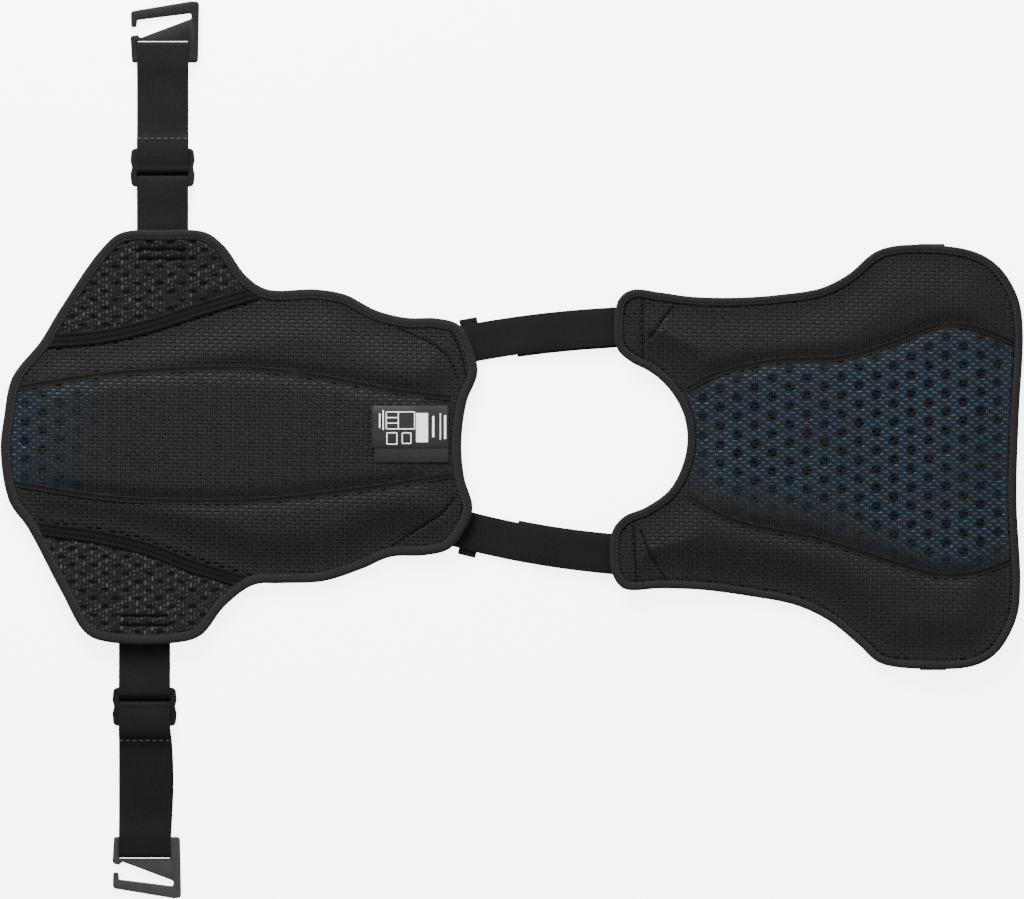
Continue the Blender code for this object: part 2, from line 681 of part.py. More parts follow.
def build_wing(name, panel, loop, seam, outline, materials):
    """Spacer mesh between a wing's edge and its seam, and the rope-edged tape over the seam."""
    sheet = inset_loop(loop, BINDING_WALL + GAP)
    inner = inset_loop(loop, FOAM_INSET)
    verts, faces = plan_mesh(sheet, [inner], [], INNER_STEP)

    def top(point):
        puff = FOAM_EDGE_THICKNESS + GAP if distance(point, loop, True) > FOAM_INSET * 0.9 else 0.0
        return panel.curl(point) + WING_THICKNESS + puff

    add_slab("wing_" + name, verts, faces, panel.curl, top, materials["spacer_mesh"])
    line = [point for point in seam if distance(point, outline, True) > BINDING_DEPTH + 0.0025]
    line = thin_out(line, False)
    sides = [offset_line(line, side * WING_TAPE_WIDTH / 2) for side in (-1, 0, 1)]
    tape_loop = sides[0] + sides[2][::-1]
    tape_verts, tape_faces = plan_mesh(tape_loop, [], [], 1.0)
    lift = WING_THICKNESS + GAP * 1.5 + (FOAM_EDGE_THICKNESS + GAP) * 0.5

    def tape_bottom(point):
        return panel.curl(point) + lift

    add_slab("wing_tape_" + name, tape_verts, tape_faces, tape_bottom,
             lambda point: tape_bottom(point) + WING_TAPE_THICKNESS, materials["binding_tape"])


def side_straps(panel, materials):
    """Elastic, slider and hook on each wing."""
    slot_half = SIDE_STRAP_WIDTH / 2 + SLOT_CLEARANCE
    for name, along, outward, slider_start, hook_start, drift in (
            ("upper", UPPER_STRAP_X, 1, UPPER_SLIDER_START, UPPER_HOOK_START, 0.0),
            ("lower", LOWER_STRAP_X, -1, LOWER_SLIDER_START, LOWER_HOOK_START, UNDER_LAYER_DRIFT)):
        edge = Vector((panel.left_x + along, panel.axis_y + outward * panel.half_width * 1.008))

        def place(run, across, edge=edge, outward=outward):
            return Vector((edge.x + across, edge.y + outward * run))

        rows, bar_low, hook_low = side_strap_rows(panel, edge, outward, slider_start, hook_start,
                                                    drift)
        add_ribbon("side_strap_" + name, rows, SIDE_STRAP_WIDTH, SIDE_STRAP_THICKNESS, place,
                   materials["elastic"])
        slider_middle = slider_start + SLIDER_LENGTH / 2

        def move_slider(spot):
            flat = place(slider_middle + spot.y, spot.x)
            return Vector((flat.x, flat.y, bar_low + SLIDER_THICKNESS / 2 + spot.z))

        inner = SLIDER_BAR / 2
        outer = SLIDER_LENGTH / 2 - SLIDER_BAR
        slots = [slot_outline(low, high, slot_half, 0.0010)
                 for low, high in ((-outer, -inner), (inner, outer))]
        add_plate("slider_" + name, slider_outline(), slots, SLIDER_THICKNESS, materials["plastic"],
                  move_slider)

        def move_hook(spot):
            flat = place(hook_start + spot.y, spot.x)
            drop = HOOK_SLOPE * spot.y
            return Vector((flat.x, flat.y, hook_low + HOOK_THICKNESS / 2 + spot.z - drop))

        base_slot = slot_outline(HOOK_BASE_BAR, HOOK_BASE_BAR + HOOK_BASE_SLOT, slot_half, 0.0010)
        add_plate("hook_" + name, hook_outline(slot_half), [base_slot], HOOK_THICKNESS,
                  materials["plastic"], move_hook)


def shoulder_straps(back, chest, materials):
    """Elastic from the back panel to each chest tab, folded under there and sewn to itself."""
    neck_x = back.left_x + back.length
    tab_x = chest.left_x
    for name, back_share, chest_share, bow in (("upper", 0.427, 0.622, 0.0072),
                                               ("lower", -0.425, -0.474, -0.0088)):
        side = math.copysign(1, back_share)
        start = Vector((neck_x - SHOULDER_BACK_TUCK, back.axis_y + back_share * back.half_width))
        end = Vector((tab_x + SHOULDER_CHEST_TUCK, chest.axis_y + chest_share * chest.half_width))
        span = end.x - start.x
        bend = start.lerp(end, 0.45)
        bend.y += bow

        def spine(run, start=start, end=end, bend=bend, span=span):
            share = run / span
            return start.lerp(bend, share).lerp(bend.lerp(end, share), share)

        def place(run, across, spine=spine):
            here = spine(run)
            along = (spine(run + 0.001) - here).normalized()
            return here + Vector((-along.y, along.x)) * across

        half = SHOULDER_STRAP_THICKNESS / 2
        band = SHOULDER_STRAP_WIDTH / 2
        pitch = SHOULDER_STRAP_THICKNESS + GAP
        hang = BINDING_WALL + 2 * GAP + half
        tab_run = span - SHOULDER_CHEST_TUCK
        taped = BINDING_DEPTH + 0.003
        back_low = back.under(place(0.0, 0.0), band) - GAP - half
        edge_low = back.under(place(SHOULDER_BACK_TUCK - taped, 0.0), band) - hang
        chest_edge = min(chest.under(place(tab_run + taped, 0.0), band) - hang,
                         chest.under(place(span - 0.001, 0.0), band) - GAP - half)
        drift = -side * 0.0018
        rows = [(0.0, back_low, 0.0), (SHOULDER_BACK_TUCK - taped, min(back_low, edge_low), 0.0),
                (SHOULDER_BACK_TUCK, edge_low, 0.0)]
        steps = 7
        for step in range(1, steps):
            share = step / steps
            run = SHOULDER_BACK_TUCK + (tab_run - SHOULDER_BACK_TUCK) * share
            rows.append((run, edge_low + (chest_edge - edge_low) * smoothstep(share), 0.0))
        rows += [(tab_run, chest_edge, 0.0), (span - 0.004, chest_edge, 0.0)]
        rows += arc_rows(span - 0.002, chest_edge - pitch / 2, pitch / 2, 80, -80, 4)
        rows += [(span - 0.005, chest_edge - pitch, drift * 0.3), (tab_run, chest_edge - pitch, drift)]
        returns = 4
        for step in range(1, returns + 1):
            run = tab_run + (span - SHOULDER_RETURN - tab_run) * step / returns
            share = (run - SHOULDER_BACK_TUCK) / (tab_run - SHOULDER_BACK_TUCK)
            height = edge_low + (chest_edge - edge_low) * smoothstep(share) - pitch * 1.05
            rows.append((run, height, drift))
        add_ribbon("shoulder_strap_" + name, rows, SHOULDER_STRAP_WIDTH, SHOULDER_STRAP_THICKNESS,
                   place, materials["elastic"])
        keeper_height = edge_low - pitch
        keeper_run = SHOULDER_BACK_TUCK + 0.003
        keeper_rows = [(keeper_run, keeper_height, 0.0), (keeper_run + KEEPER_LENGTH, keeper_height, 0.0)]

        def place_keeper(run, across, place=place, side=side):
            return place(run, across + side * (band + KEEPER_OVERHANG - 0.007))

        add_ribbon("strap_keeper_" + name, keeper_rows, 0.014, SHOULDER_STRAP_THICKNESS, place_keeper,
                   materials["elastic"])


def chest_loops(panel, materials):
    """Webbing folded into a loop under each side edge of the chest panel."""
    for name, along, across in (("upper", 0.778, 1.0), ("lower", 0.782, -1.0)):
        side = math.copysign(1, across)
        edge = panel.place([(along, across)])[0]

        def place(run, sideways, edge=edge, side=side):
            return Vector((edge.x + sideways, edge.y + side * run))

        half = LOOP_THICKNESS / 2

        def below(run):
            return panel.under(place(run, 0.0), 0.0)

        def seated(run):
            """Middle height of the upper layer: close under the cover, lower below the binding."""
            return min(below(run) - half - GAP * 0.6, edge_height)

        hang = BINDING_WALL + 2 * GAP + half
        sewn_run = -BINDING_DEPTH - 0.004
        edge_height = min(below(sewn_run), below(0.0)) - hang
        pitch = LOOP_THICKNESS + GAP
        turn = (LOOP_EYE + LOOP_THICKNESS) / 2
        sewn = [-LOOP_LENGTH, -LOOP_LENGTH * 0.83, -LOOP_LENGTH * 0.66]
        rows = [(run, seated(run), 0.0) for run in sewn]
        rows += [(sewn_run, edge_height, 0.0), (LOOP_OVERHANG - half - turn - 0.001, edge_height, 0.0)]
        rows += arc_rows(LOOP_OVERHANG - half - turn, edge_height - turn, turn, 80, -90, 6)
        rows.append((sewn_run, edge_height - turn * 2, 0.0))
        rows += [(run, min(seated(run) - pitch, edge_height - turn * 2), 0.0) for run in sewn[::-1]]
        add_ribbon("chest_loop_" + name, rows, LOOP_WIDTH, LOOP_THICKNESS, place,
                   materials["elastic"])


def neck_label(panel, materials):
    """Two satin leaves that lie on the lining, sewn in under the binding at the neck."""
    start_x = panel.left_x + panel.length * 0.997 - BINDING_DEPTH - 0.0012
    axis = panel.axis_y
    for name, centre, width, length, lift in (
            ("neck_label_under", 0.0015, LABEL_UNDER_WIDTH, LABEL_LENGTH - 0.002, GAP),
            ("neck_label_top", 0.0075, LABEL_TOP_WIDTH, LABEL_LENGTH, GAP * 2 + LABEL_THICKNESS)):

        def place(run, across, centre=centre):
            return Vector((start_x - run, axis + centre + across))

        rows = []
        steps = 6
        for step in range(steps + 1):
            run = length * step / steps
            heights = [panel.lining_top(place(run + nudge, share * width))
                       for nudge in (-0.004, 0.0, 0.004) for share in (-0.5, -0.25, 0.0, 0.25, 0.5)]
            rows.append((run, max(heights) + lift + LABEL_THICKNESS / 2, 0.0))
        add_ribbon(name, rows, width, LABEL_THICKNESS, place, materials["label_satin"])


def main():
    clear_scene()
    collection = bpy.data.collections.new("roost_deflector")
    bpy.context.scene.collection.children.link(collection)
    materials = {name: make_material(name, colour) for name, colour in MATERIALS.items()}
    total = BACK_LENGTH + SHOULDER_SPAN + CHEST_LENGTH
    back = Panel(-total / 2, BACK_AXIS_Y, BACK_LENGTH, BACK_HALF_WIDTH, BACK_MIDDLE, 0.0,
                 BACK_END_CURL, BACK_SIDE_CURL)
    chest = Panel(total / 2 - CHEST_LENGTH, CHEST_AXIS_Y, CHEST_LENGTH, CHEST_HALF_WIDTH, CHEST_MIDDLE,
                  CHEST_NECK_SHARE, CHEST_END_CURL, CHEST_SIDE_CURL)
    back_panel(back, materials)
    chest_panel(chest, materials)
    side_straps(back, materials)
    shoulder_straps(back, chest, materials)
    chest_loops(chest, materials)
    neck_label(back, materials)


main()
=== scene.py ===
# %% [markdown]
# # A roost deflector, laid open with its inner side up
#
# A roost deflector is the light armour that a motocross rider wears against thrown stones. Two
# padded panels, one for the back and one for the chest, hang on elastic shoulder straps and are
# closed at the sides with elastic and hooks. Here it lies flat, so that we look at its lining.
#
# The solids come from a CAD model, which is loaded as a fixed frame. Every piece made below lies
# where its solid lies, in the same metres, so nothing has to be fitted by eye.

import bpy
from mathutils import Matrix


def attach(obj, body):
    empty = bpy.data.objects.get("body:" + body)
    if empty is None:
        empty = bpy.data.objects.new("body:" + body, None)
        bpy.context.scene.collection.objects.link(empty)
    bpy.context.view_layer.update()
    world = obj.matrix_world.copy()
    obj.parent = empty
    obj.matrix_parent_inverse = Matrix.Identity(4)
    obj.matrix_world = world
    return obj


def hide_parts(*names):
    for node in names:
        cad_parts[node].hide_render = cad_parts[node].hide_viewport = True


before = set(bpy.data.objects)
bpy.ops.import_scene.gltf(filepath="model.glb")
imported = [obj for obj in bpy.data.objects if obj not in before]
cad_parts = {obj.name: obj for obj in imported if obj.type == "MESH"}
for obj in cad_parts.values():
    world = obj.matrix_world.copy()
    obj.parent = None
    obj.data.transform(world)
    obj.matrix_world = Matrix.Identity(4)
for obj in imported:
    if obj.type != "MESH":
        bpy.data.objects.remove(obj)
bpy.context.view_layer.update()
print("solids in the frame:", len(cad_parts))

# %% Tools used by every cell
import math
from functools import partial

import bmesh
import bpy
import numpy as np
from mathutils import Matrix, Vector, noise

# %% [markdown]
# ## Camera, floor and light
#
# The object was shot from straight above. A very long lens, far over the floor, keeps the sides of
# the thick panels out of sight, as in the photograph. Large soft lights give cloth its shape through
# weak shadows, where a small hard light would turn each thread into a sparkle.

# %% Camera straight above
FRAME_WIDTH = 0.7782
CAMERA_HEIGHT = 9.0
MEAN_HEIGHT = 0.006

camera_data = bpy.data.cameras.new("camera_above")
camera_data.sensor_width = 36.0
camera_data.lens = 36.0 * (CAMERA_HEIGHT - MEAN_HEIGHT) / FRAME_WIDTH
camera = bpy.data.objects.new("camera_above", camera_data)
camera.location = (0.0004, 0.0, CAMERA_HEIGHT)
bpy.context.scene.collection.objects.link(camera)
bpy.context.scene.camera = camera
print("lens in mm:", round(camera_data.lens, 1))

# %% Lights
def add_light(name, place, size, power):
    """A square area light that looks at the middle of the object."""
    light = bpy.data.lights.new(name, "AREA")
    light.size = size
    light.energy = power
    lamp = bpy.data.objects.new(name, light)
    lamp.location = place
    lamp.rotation_euler = (-Vector(place)).to_track_quat("-Z", "Y").to_euler()
    bpy.context.scene.collection.objects.link(lamp)
    return lamp


add_light("key_light", (-0.45, 1.25, 1.05), 0.9, 80.0)
add_light("fill_light", (1.3, 0.2, 1.9), 1.6, 20.0)
world = bpy.data.worlds.new("studio")
world.use_nodes = True
world.node_tree.nodes["Background"].inputs["Color"].default_value = (1.0, 1.0, 1.0, 1.0)
world.node_tree.nodes["Background"].inputs["Strength"].default_value = 0.65
bpy.context.scene.world = world
print("lights: key, fill and an even white sky")

# %% [markdown]
# ## Shader helpers
#
# A material is a small tree of nodes. A few helpers keep the trees short: they add a node and
# wire its inputs, or give back the output of a Math, Noise or Attribute node. Patterns that
# several cloths share are node groups, built once, with the thread size as an input.

# %% Node helpers
STUDIO_SHARE = 0.5


def grey(level):
    """A grey given as it looks on screen from 0 to 255, turned into a shader's linear colour.
    The light that makes the floor white is strong, so cloth is darker than it looks."""
    share = level / 255.0
    linear = share / 12.92 if share <= 0.04045 else ((share + 0.055) / 1.055) ** 2.4
    return (linear * STUDIO_SHARE,) * 3


def add_node(tree, kind, inputs=None, **settings):
    made = tree.nodes.new(kind)
    for key, value in settings.items():
        setattr(made, key, value)
    for key, value in (inputs or {}).items():
        if isinstance(value, bpy.types.NodeSocket):
            tree.links.new(value, made.inputs[key])
        else:
            made.inputs[key].default_value = value
    return made


def maths(tree, operation, first, second=0.0):
    """The output of a Math node."""
    return add_node(tree, "ShaderNodeMath", {0: first, 1: second}, operation=operation).outputs[0]


def mix_colours(tree, share, first, second):
    """The colour between two colours, each a socket or three numbers."""
    made = add_node(tree, "ShaderNodeMix", {0: share}, data_type="RGBA")
    for number, colour in ((6, first), (7, second)):
        if isinstance(colour, bpy.types.NodeSocket):
            tree.links.new(colour, made.inputs[number])
        else:
            made.inputs[number].default_value = (*colour, 1.0)
    return made.outputs[2]


def noise_at(tree, where, scale, detail=2.0):
    """Soft noise with so many waves a metre."""
    return add_node(tree, "ShaderNodeTexNoise",
                    {"Vector": where, "Scale": scale, "Detail": detail}).outputs[0]


def attribute(tree, name):
    """The numbers that a mesh stores under this name."""
    return add_node(tree, "ShaderNodeAttribute", attribute_name=name).outputs["Fac"]


def new_group(name, inputs, outputs):
    """An empty group with a Vector input, more inputs by name, and its two end nodes."""
    group = bpy.data.node_groups.new(name, "ShaderNodeTree")
    group.interface.new_socket("Vector", in_out="INPUT", socket_type="NodeSocketVector")
    for socket, value in inputs.items():
        made = group.interface.new_socket(socket, in_out="INPUT", socket_type="NodeSocketFloat")
        made.default_value = value
    for socket in outputs:
        group.interface.new_socket(socket, in_out="OUTPUT", socket_type="NodeSocketFloat")
    return group, group.nodes.new("NodeGroupInput"), group.nodes.new("NodeGroupOutput")


def use_group(tree, group, **inputs):
    named = {name.replace("_", " "): value for name, value in inputs.items()}
    return add_node(tree, "ShaderNodeGroup", named, node_tree=group)


print("node helpers ready")

# %% [markdown]
# ### Threads over and under
#
# In a plain weave each thread goes over one thread and under the next. Two rows of rounded
# threads, one along each axis, and a checkerboard that says which one is on top make the height.

# %% The woven threads group
weave_group, weave_in, weave_out = new_group(
    "woven_threads", {"Along pitch": 0.001, "Across pitch": 0.001}, ["Height"])
weave_axes = add_node(weave_group, "ShaderNodeSeparateXYZ", {0: weave_in.outputs["Vector"]})
calc = partial(maths, weave_group)
waves = []
for axis, pitch in (("X", "Along pitch"), ("Y", "Across pitch")):
    turns = calc("DIVIDE", weave_axes.outputs[axis], weave_in.outputs[pitch])
    waves.append(calc("SINE", calc("MULTIPLY", turns, math.pi)))
over = calc("GREATER_THAN", calc("MULTIPLY", *waves), 0.0)
round_x, round_y = (calc("ABSOLUTE", wave) for wave in waves)
upper = add_node(weave_group, "ShaderNodeMix", {0: over, 2: round_x, 3: round_y}, data_type="FLOAT")
height = calc("MAXIMUM", calc("MULTIPLY", upper.outputs[0], 0.8), calc("MULTIPLY", round_x, round_y))
weave_group.links.new(height, weave_out.inputs["Height"])
print("group made:", weave_group.name)

# %% [markdown]
# ### Uneven dye and lint
#
# No cloth is one even tone. Two sizes of soft noise, one as wide as a hand and one as fine as
# fluff, lighten and darken every fabric on this object a little.

# %% The cloth tone group
tone_group, tone_in, tone_out = new_group("cloth_tone", {"Amount": 0.2}, ["Tone"])
calc = partial(maths, tone_group)
wide = noise_at(tone_group, tone_in.outputs["Vector"], 28.0, 3.0)
fluff = noise_at(tone_group, tone_in.outputs["Vector"], 620.0, 1.0)
both = calc("ADD", calc("MULTIPLY", wide, 0.8), calc("MULTIPLY", fluff, 1.2))
swing = calc("MULTIPLY", calc("SUBTRACT", both, 1.0), tone_in.outputs["Amount"])
tone_group.links.new(calc("ADD", swing, 1.0), tone_out.inputs["Tone"])
print("group made:", tone_group.name)

# %% [markdown]
# ### Round perforations in staggered columns
#
# The foam under the lining is punched with round holes for air, in columns that are each set half
# a step lower than the last. Rounding the position to the nearest hole and measuring the distance
# to it gives a mask of round spots.

# %% The perforation group
HOLE_COLUMN = 0.0132
HOLE_ROW = 0.0142
HOLE_SHIFT = 0.48
HOLE_RADIUS = 0.0036

holes_group, holes_in, holes_out = new_group("perforations", {}, ["Mask"])
holes_axes = add_node(holes_group, "ShaderNodeSeparateXYZ", {0: holes_in.outputs["Vector"]})
calc = partial(maths, holes_group)
column_at = calc("DIVIDE", holes_axes.outputs["X"], HOLE_COLUMN)
column_near = calc("ROUND", column_at)
row_at = calc("ADD", calc("DIVIDE", holes_axes.outputs["Y"], HOLE_ROW),
              calc("MULTIPLY", column_near, HOLE_SHIFT))
aside = calc("MULTIPLY", calc("SUBTRACT", column_at, column_near), HOLE_COLUMN)
above = calc("MULTIPLY", calc("SUBTRACT", row_at, calc("ROUND", row_at)), HOLE_ROW)
away = calc("SQRT", calc("ADD", calc("MULTIPLY", aside, aside), calc("MULTIPLY", above, above)))
spot = add_node(holes_group, "ShaderNodeMapRange",
                {"Value": calc("DIVIDE", away, HOLE_RADIUS), "From Min": 0.8, "From Max": 1.1,
                 "To Min": 1.0, "To Max": 0.0}, interpolation_type="SMOOTHSTEP")
holes_group.links.new(spot.outputs[0], holes_out.inputs["Mask"])
print("group made:", holes_group.name)

# %% [markdown]
# ### Cloth materials
#
# Each cloth starts from the same recipe: threads of its own size for the height, a darker tone in
# the valleys as painted shade, the uneven tone on top, and a little sheen, which is the light that
# fine fibres catch at their tips. Flat panels read Object coordinates. Straps and tapes read their
# own UV map, laid out in metres, so that the ribs follow each bend.

# %% A recipe for cloth
def new_material(name):
    """A material, its tree, its shader and its texture coordinates."""
    material = bpy.data.materials.new(name)
    material.use_nodes = True
    tree = material.node_tree
    return material, tree, tree.nodes["Principled BSDF"], add_node(tree, "ShaderNodeTexCoord").outputs


def scaled(tree, colour, factor):
    """A colour socket times a number socket."""
    return add_node(tree, "ShaderNodeVectorMath", {0: colour, 1: factor}, operation="MULTIPLY").outputs[0]


def set_surface(tree, shader, colour, height=None, bump=0.0, strength=1.0, **inputs):
    """Wires a colour and a bump into a shader and sets its other inputs by name."""
    tree.links.new(colour, shader.inputs["Base Color"])
    if height:
        relief = add_node(tree, "ShaderNodeBump", {"Height": height, "Distance": bump, "Strength": strength})
        tree.links.new(relief.outputs[0], shader.inputs["Normal"])
    for name, value in inputs.items():
        shader.inputs[name.replace("_", " ")].default_value = value


def cloth(name, dark, light, pitch, uv=False, bump=0.0003, roughness=0.9, tone=0.3, specular=0.06):
    """A woven cloth between a dark and a light grey, with threads of this pitch along and across."""
    material, tree, shader, coordinates = new_material(name)
    where = coordinates["UV" if uv else "Object"]
    threads = use_group(tree, weave_group, Vector=where, Along_pitch=pitch[0], Across_pitch=pitch[1])
    uneven = use_group(tree, tone_group, Vector=where, Amount=tone)
    # painted shade: the valleys between the threads are painted darker than the crowns
    colour = mix_colours(tree, threads.outputs["Height"], grey(dark), grey(light))
    set_surface(tree, shader, scaled(tree, colour, uneven.outputs[0]), threads.outputs["Height"], bump,
                0.8, Roughness=roughness, Specular_IOR_Level=specular, Sheen_Weight=0.02,
                Sheen_Roughness=0.5)
    return material


def darkened(material, name, share, level):
    """Mixes a grey into a material where an attribute of its mesh is 1, as painted shade."""
    tree = material.node_tree
    socket = tree.nodes["Principled BSDF"].inputs["Base Color"]
    share = maths(tree, "MULTIPLY", attribute(tree, name), share)
    tree.links.new(mix_colours(tree, share, socket.links[0].from_socket, grey(level)), socket)


yarn = cloth("knit_yarn", 24, 53, (0.0018, 0.0011), bump=0.00035)
# painted shade: the yarn is painted darker over the punched holes, where less light comes back from below
darkened(yarn, "hollow", 0.5, 12)
outer_cloth = cloth("outer_cordura", 22, 48, (0.0009, 0.0009), bump=0.0003)
tape_cloth = cloth("stretch_tape", 34, 50, (0.0006, 0.0005), uv=True, bump=0.00012)
rope_cloth = cloth("rope_edge_tape", 4, 38, (0.0014, 0.0011), uv=True, bump=0.0006)
seam_cloth = cloth("overlock_seam", 12, 36, (0.0010, 0.0007), uv=True, bump=0.0003)
elastic_cloth = cloth("elastic_rib", 22, 38, (0.0007, 0.0011), uv=True, bump=0.00014, tone=0.6)
thread_cloth = cloth("sewing_thread", 3, 10, (0.0004, 0.0004), bump=0.0001)
tape_thread = cloth("tape_thread", 66, 92, (0.0004, 0.0004), bump=0.0001)
seam_thread = cloth("seam_thread", 54, 78, (0.0004, 0.0004), bump=0.0001)
strap_thread = cloth("strap_thread", 90, 120, (0.0004, 0.0004), bump=0.0001)
print("cloth materials:", 10)

# %% [markdown]
# ### Foam, spacer mesh, plastic and satin
#
# The blue foam core shows only through the holes of the knit, between the two seams of each
# panel. How blue it is at each point is stored in the mesh as an attribute named core; its punched
# holes are painted nearly black, as painted shade. The wings store their light ribs and dark holes,
# which are painted shade too, in the same way.

# %% Foam that is blue between the seams
foam_material, tree, shader, coordinates = new_material("punched_foam")
holes = use_group(tree, holes_group, Vector=coordinates["Object"]).outputs["Mask"]
core = attribute(tree, "core")
pores = noise_at(tree, coordinates["Object"], 900.0)
blue = mix_colours(tree, pores, (0.017, 0.068, 0.140), (0.036, 0.122, 0.232))
colour = mix_colours(tree, core, grey(50), blue)
# painted shade: inside the punched holes the foam is painted nearly black
colour = mix_colours(tree, maths(tree, "MULTIPLY", holes, core), colour, grey(8))
set_surface(tree, shader, colour, pores, 0.0003, Roughness=0.8)
print("material made:", foam_material.name)

# %% Coarse spacer mesh of the wings
spacer_material, tree, shader, coordinates = new_material("spacer_mesh")
where = coordinates["Object"]
uneven = use_group(tree, tone_group, Vector=where, Amount=0.5)
fibres = use_group(tree, weave_group, Vector=where, Along_pitch=0.0006, Across_pitch=0.0006)
colour = mix_colours(tree, attribute(tree, "rib"), grey(32), grey(104))
# painted shade: the hollows of the mesh are painted nearly black
colour = mix_colours(tree, attribute(tree, "pit"), colour, grey(6))
set_surface(tree, shader, scaled(tree, colour, uneven.outputs[0]), fibres.outputs["Height"], 0.0002,
            Roughness=0.85, Specular_IOR_Level=0.1)
print("material made:", spacer_material.name)

# %% Moulded plastic with a fine grain
def moulded_plastic(name, dark, light, specular):
    """Plastic between two greys, with its gloss a little uneven."""
    material, tree, shader, coordinates = new_material(name)
    grain = noise_at(tree, coordinates["Object"], 1800.0)
    rubbed = noise_at(tree, coordinates["Object"], 120.0, 4.0)
    worn = add_node(tree, "ShaderNodeMapRange", {"Value": rubbed, "To Min": 0.36, "To Max": 0.54})
    tree.links.new(worn.outputs[0], shader.inputs["Roughness"])
    set_surface(tree, shader, mix_colours(tree, rubbed, grey(dark), grey(light)), grain, 0.00006,
                Specular_IOR_Level=specular)
    return material


dark_plastic = moulded_plastic("dark_plastic", 20, 31, 0.10)
pale_plastic = moulded_plastic("rubbed_plastic", 56, 76, 0.22)
print("plastics: dark, and rubbed pale")

# %% Satin of the label and its blank print
satin_material = cloth("label_satin", 38, 48, (0.0003, 0.0006), bump=0.00005, roughness=0.4, tone=0.1,
                       specular=0.2)
print_material, tree, shader, coordinates = new_material("label_print")
ink = noise_at(tree, coordinates["Object"], 1500.0)
set_surface(tree, shader, mix_colours(tree, ink, (0.80,) * 3, (0.90,) * 3), Roughness=0.6)
print("materials made:", satin_material.name, print_material.name)

# %% [markdown]
# ### The pale floor
#
# The floor is one large sheet of matt paper with a faint fibre, a fraction of a millimetre below
# the object. In the photograph it is burnt out to pure white, so it glows, but only for the camera:
# the glow lights nothing.

# %% Floor
FLOOR_GLOW = 5.0
floor_material, tree, shader, coordinates = new_material("pale_paper")
fibre = noise_at(tree, coordinates["Object"], 60.0)
set_surface(tree, shader, mix_colours(tree, fibre, (0.94,) * 3, (0.97,) * 3), Roughness=0.95,
            Specular_IOR_Level=0.1, Emission_Color=(1.0, 1.0, 1.0, 1.0))
seen = add_node(tree, "ShaderNodeLightPath").outputs["Is Camera Ray"]
tree.links.new(maths(tree, "MULTIPLY", seen, FLOOR_GLOW), shader.inputs["Emission Strength"])
builder = bmesh.new()
bmesh.ops.create_grid(builder, x_segments=2, y_segments=2, size=4.0,
                      matrix=Matrix.Translation((0.0, 0.0, -0.0003)))
floor_mesh = bpy.data.meshes.new("floor")
builder.to_mesh(floor_mesh)
builder.free()
floor_mesh.materials.append(floor_material)
floor = bpy.data.objects.new("floor", floor_mesh)
bpy.context.scene.collection.objects.link(floor)
print("floor is 8 m wide")

# %% [markdown]
# ## Sizes of the panels
#
# These are the sizes of the CAD model, in metres. An outline is a short table of shares, along
# the panel's length and across its half width, and a smooth curve runs through its points.

# %% Sizes shared with the solids
BACK_LENGTH, BACK_HALF_WIDTH, BACK_AXIS_Y = 0.351, 0.155, 0.0099
CHEST_LENGTH, CHEST_HALF_WIDTH, CHEST_AXIS_Y = 0.3124, 0.1611, -0.0057
SHOULDER_SPAN = 0.1137
TOTAL_LENGTH = BACK_LENGTH + SHOULDER_SPAN + CHEST_LENGTH
FLAT_SHARE = 0.35
COVER = 0.0020
FOAM, FOAM_EDGE, FOAM_ROUNDING, FOAM_INSET = 0.0090, 0.0009, 0.034, 0.0092
WING = 0.0042
GAP = 0.0004
SEAM_DEPTH_SHARE, SEAM_HALF_WIDTH = 0.42, 0.0075
TAPE_DEPTH = 0.0076
print("length from hem to hem in mm:", round(TOTAL_LENGTH * 1000, 1))

# %% Outlines of the back panel
BACK_HEM = [(0.020, -0.320), (0.001, -0.070), (0.008, 0.090), (0.026, 0.290), (0.087, 0.466)]
BACK_WING_UP = [(0.130, 0.627), (0.218, 0.915), (0.262, 0.998), (0.353, 1.010), (0.444, 1.002),
                (0.486, 0.933), (0.532, 0.790)]
BACK_SIDE_UP = [(0.578, 0.722), (0.683, 0.722), (0.748, 0.696), (0.813, 0.620), (0.880, 0.583),
                (0.945, 0.580)]
BACK_NECK = [(0.992, 0.550), (1.016, 0.466), (1.034, 0.319), (1.010, 0.167), (0.999, -0.030),
             (1.005, -0.200), (1.023, -0.348), (1.008, -0.450), (0.972, -0.552)]
BACK_SIDE_DOWN = [(0.920, -0.583), (0.845, -0.591), (0.785, -0.648), (0.700, -0.710), (0.607, -0.720),
                  (0.550, -0.728)]
BACK_WING_DOWN = [(0.488, -0.828), (0.437, -0.972), (0.395, -1.007), (0.232, -1.007), (0.186, -0.965),
                  (0.130, -0.750), (0.059, -0.446)]
WING_SEAM_UP = [(0.087, 0.466), (0.217, 0.490), (0.323, 0.544), (0.431, 0.623), (0.578, 0.722)]
WING_SEAM_DOWN = [(0.059, -0.446), (0.217, -0.495), (0.323, -0.554), (0.412, -0.632), (0.550, -0.728)]
BACK_SEAMS = {
    "long_up": [(0.010, 0.228), (0.037, 0.238), (0.251, 0.309), (0.540, 0.331), (0.737, 0.275),
                (0.843, 0.228), (0.975, 0.190)],
    "long_down": [(0.010, -0.226), (0.037, -0.233), (0.251, -0.304), (0.540, -0.315), (0.737, -0.271),
                  (0.843, -0.239), (0.975, -0.190)],
    "shoulder_up": [(0.865, 0.530), (0.930, 0.460), (0.968, 0.390), (0.990, 0.290)],
    "shoulder_down": [(0.850, -0.530), (0.915, -0.440), (0.960, -0.370), (0.982, -0.300)],
}
BACK_STITCHED = [[(0.974, 0.529), (0.995, 0.421), (1.008, 0.309)],
                 [(0.968, -0.520), (0.992, -0.421), (1.002, -0.309)]]
print("points in the back's outline:", len(BACK_HEM + BACK_WING_UP + BACK_SIDE_UP + BACK_NECK))

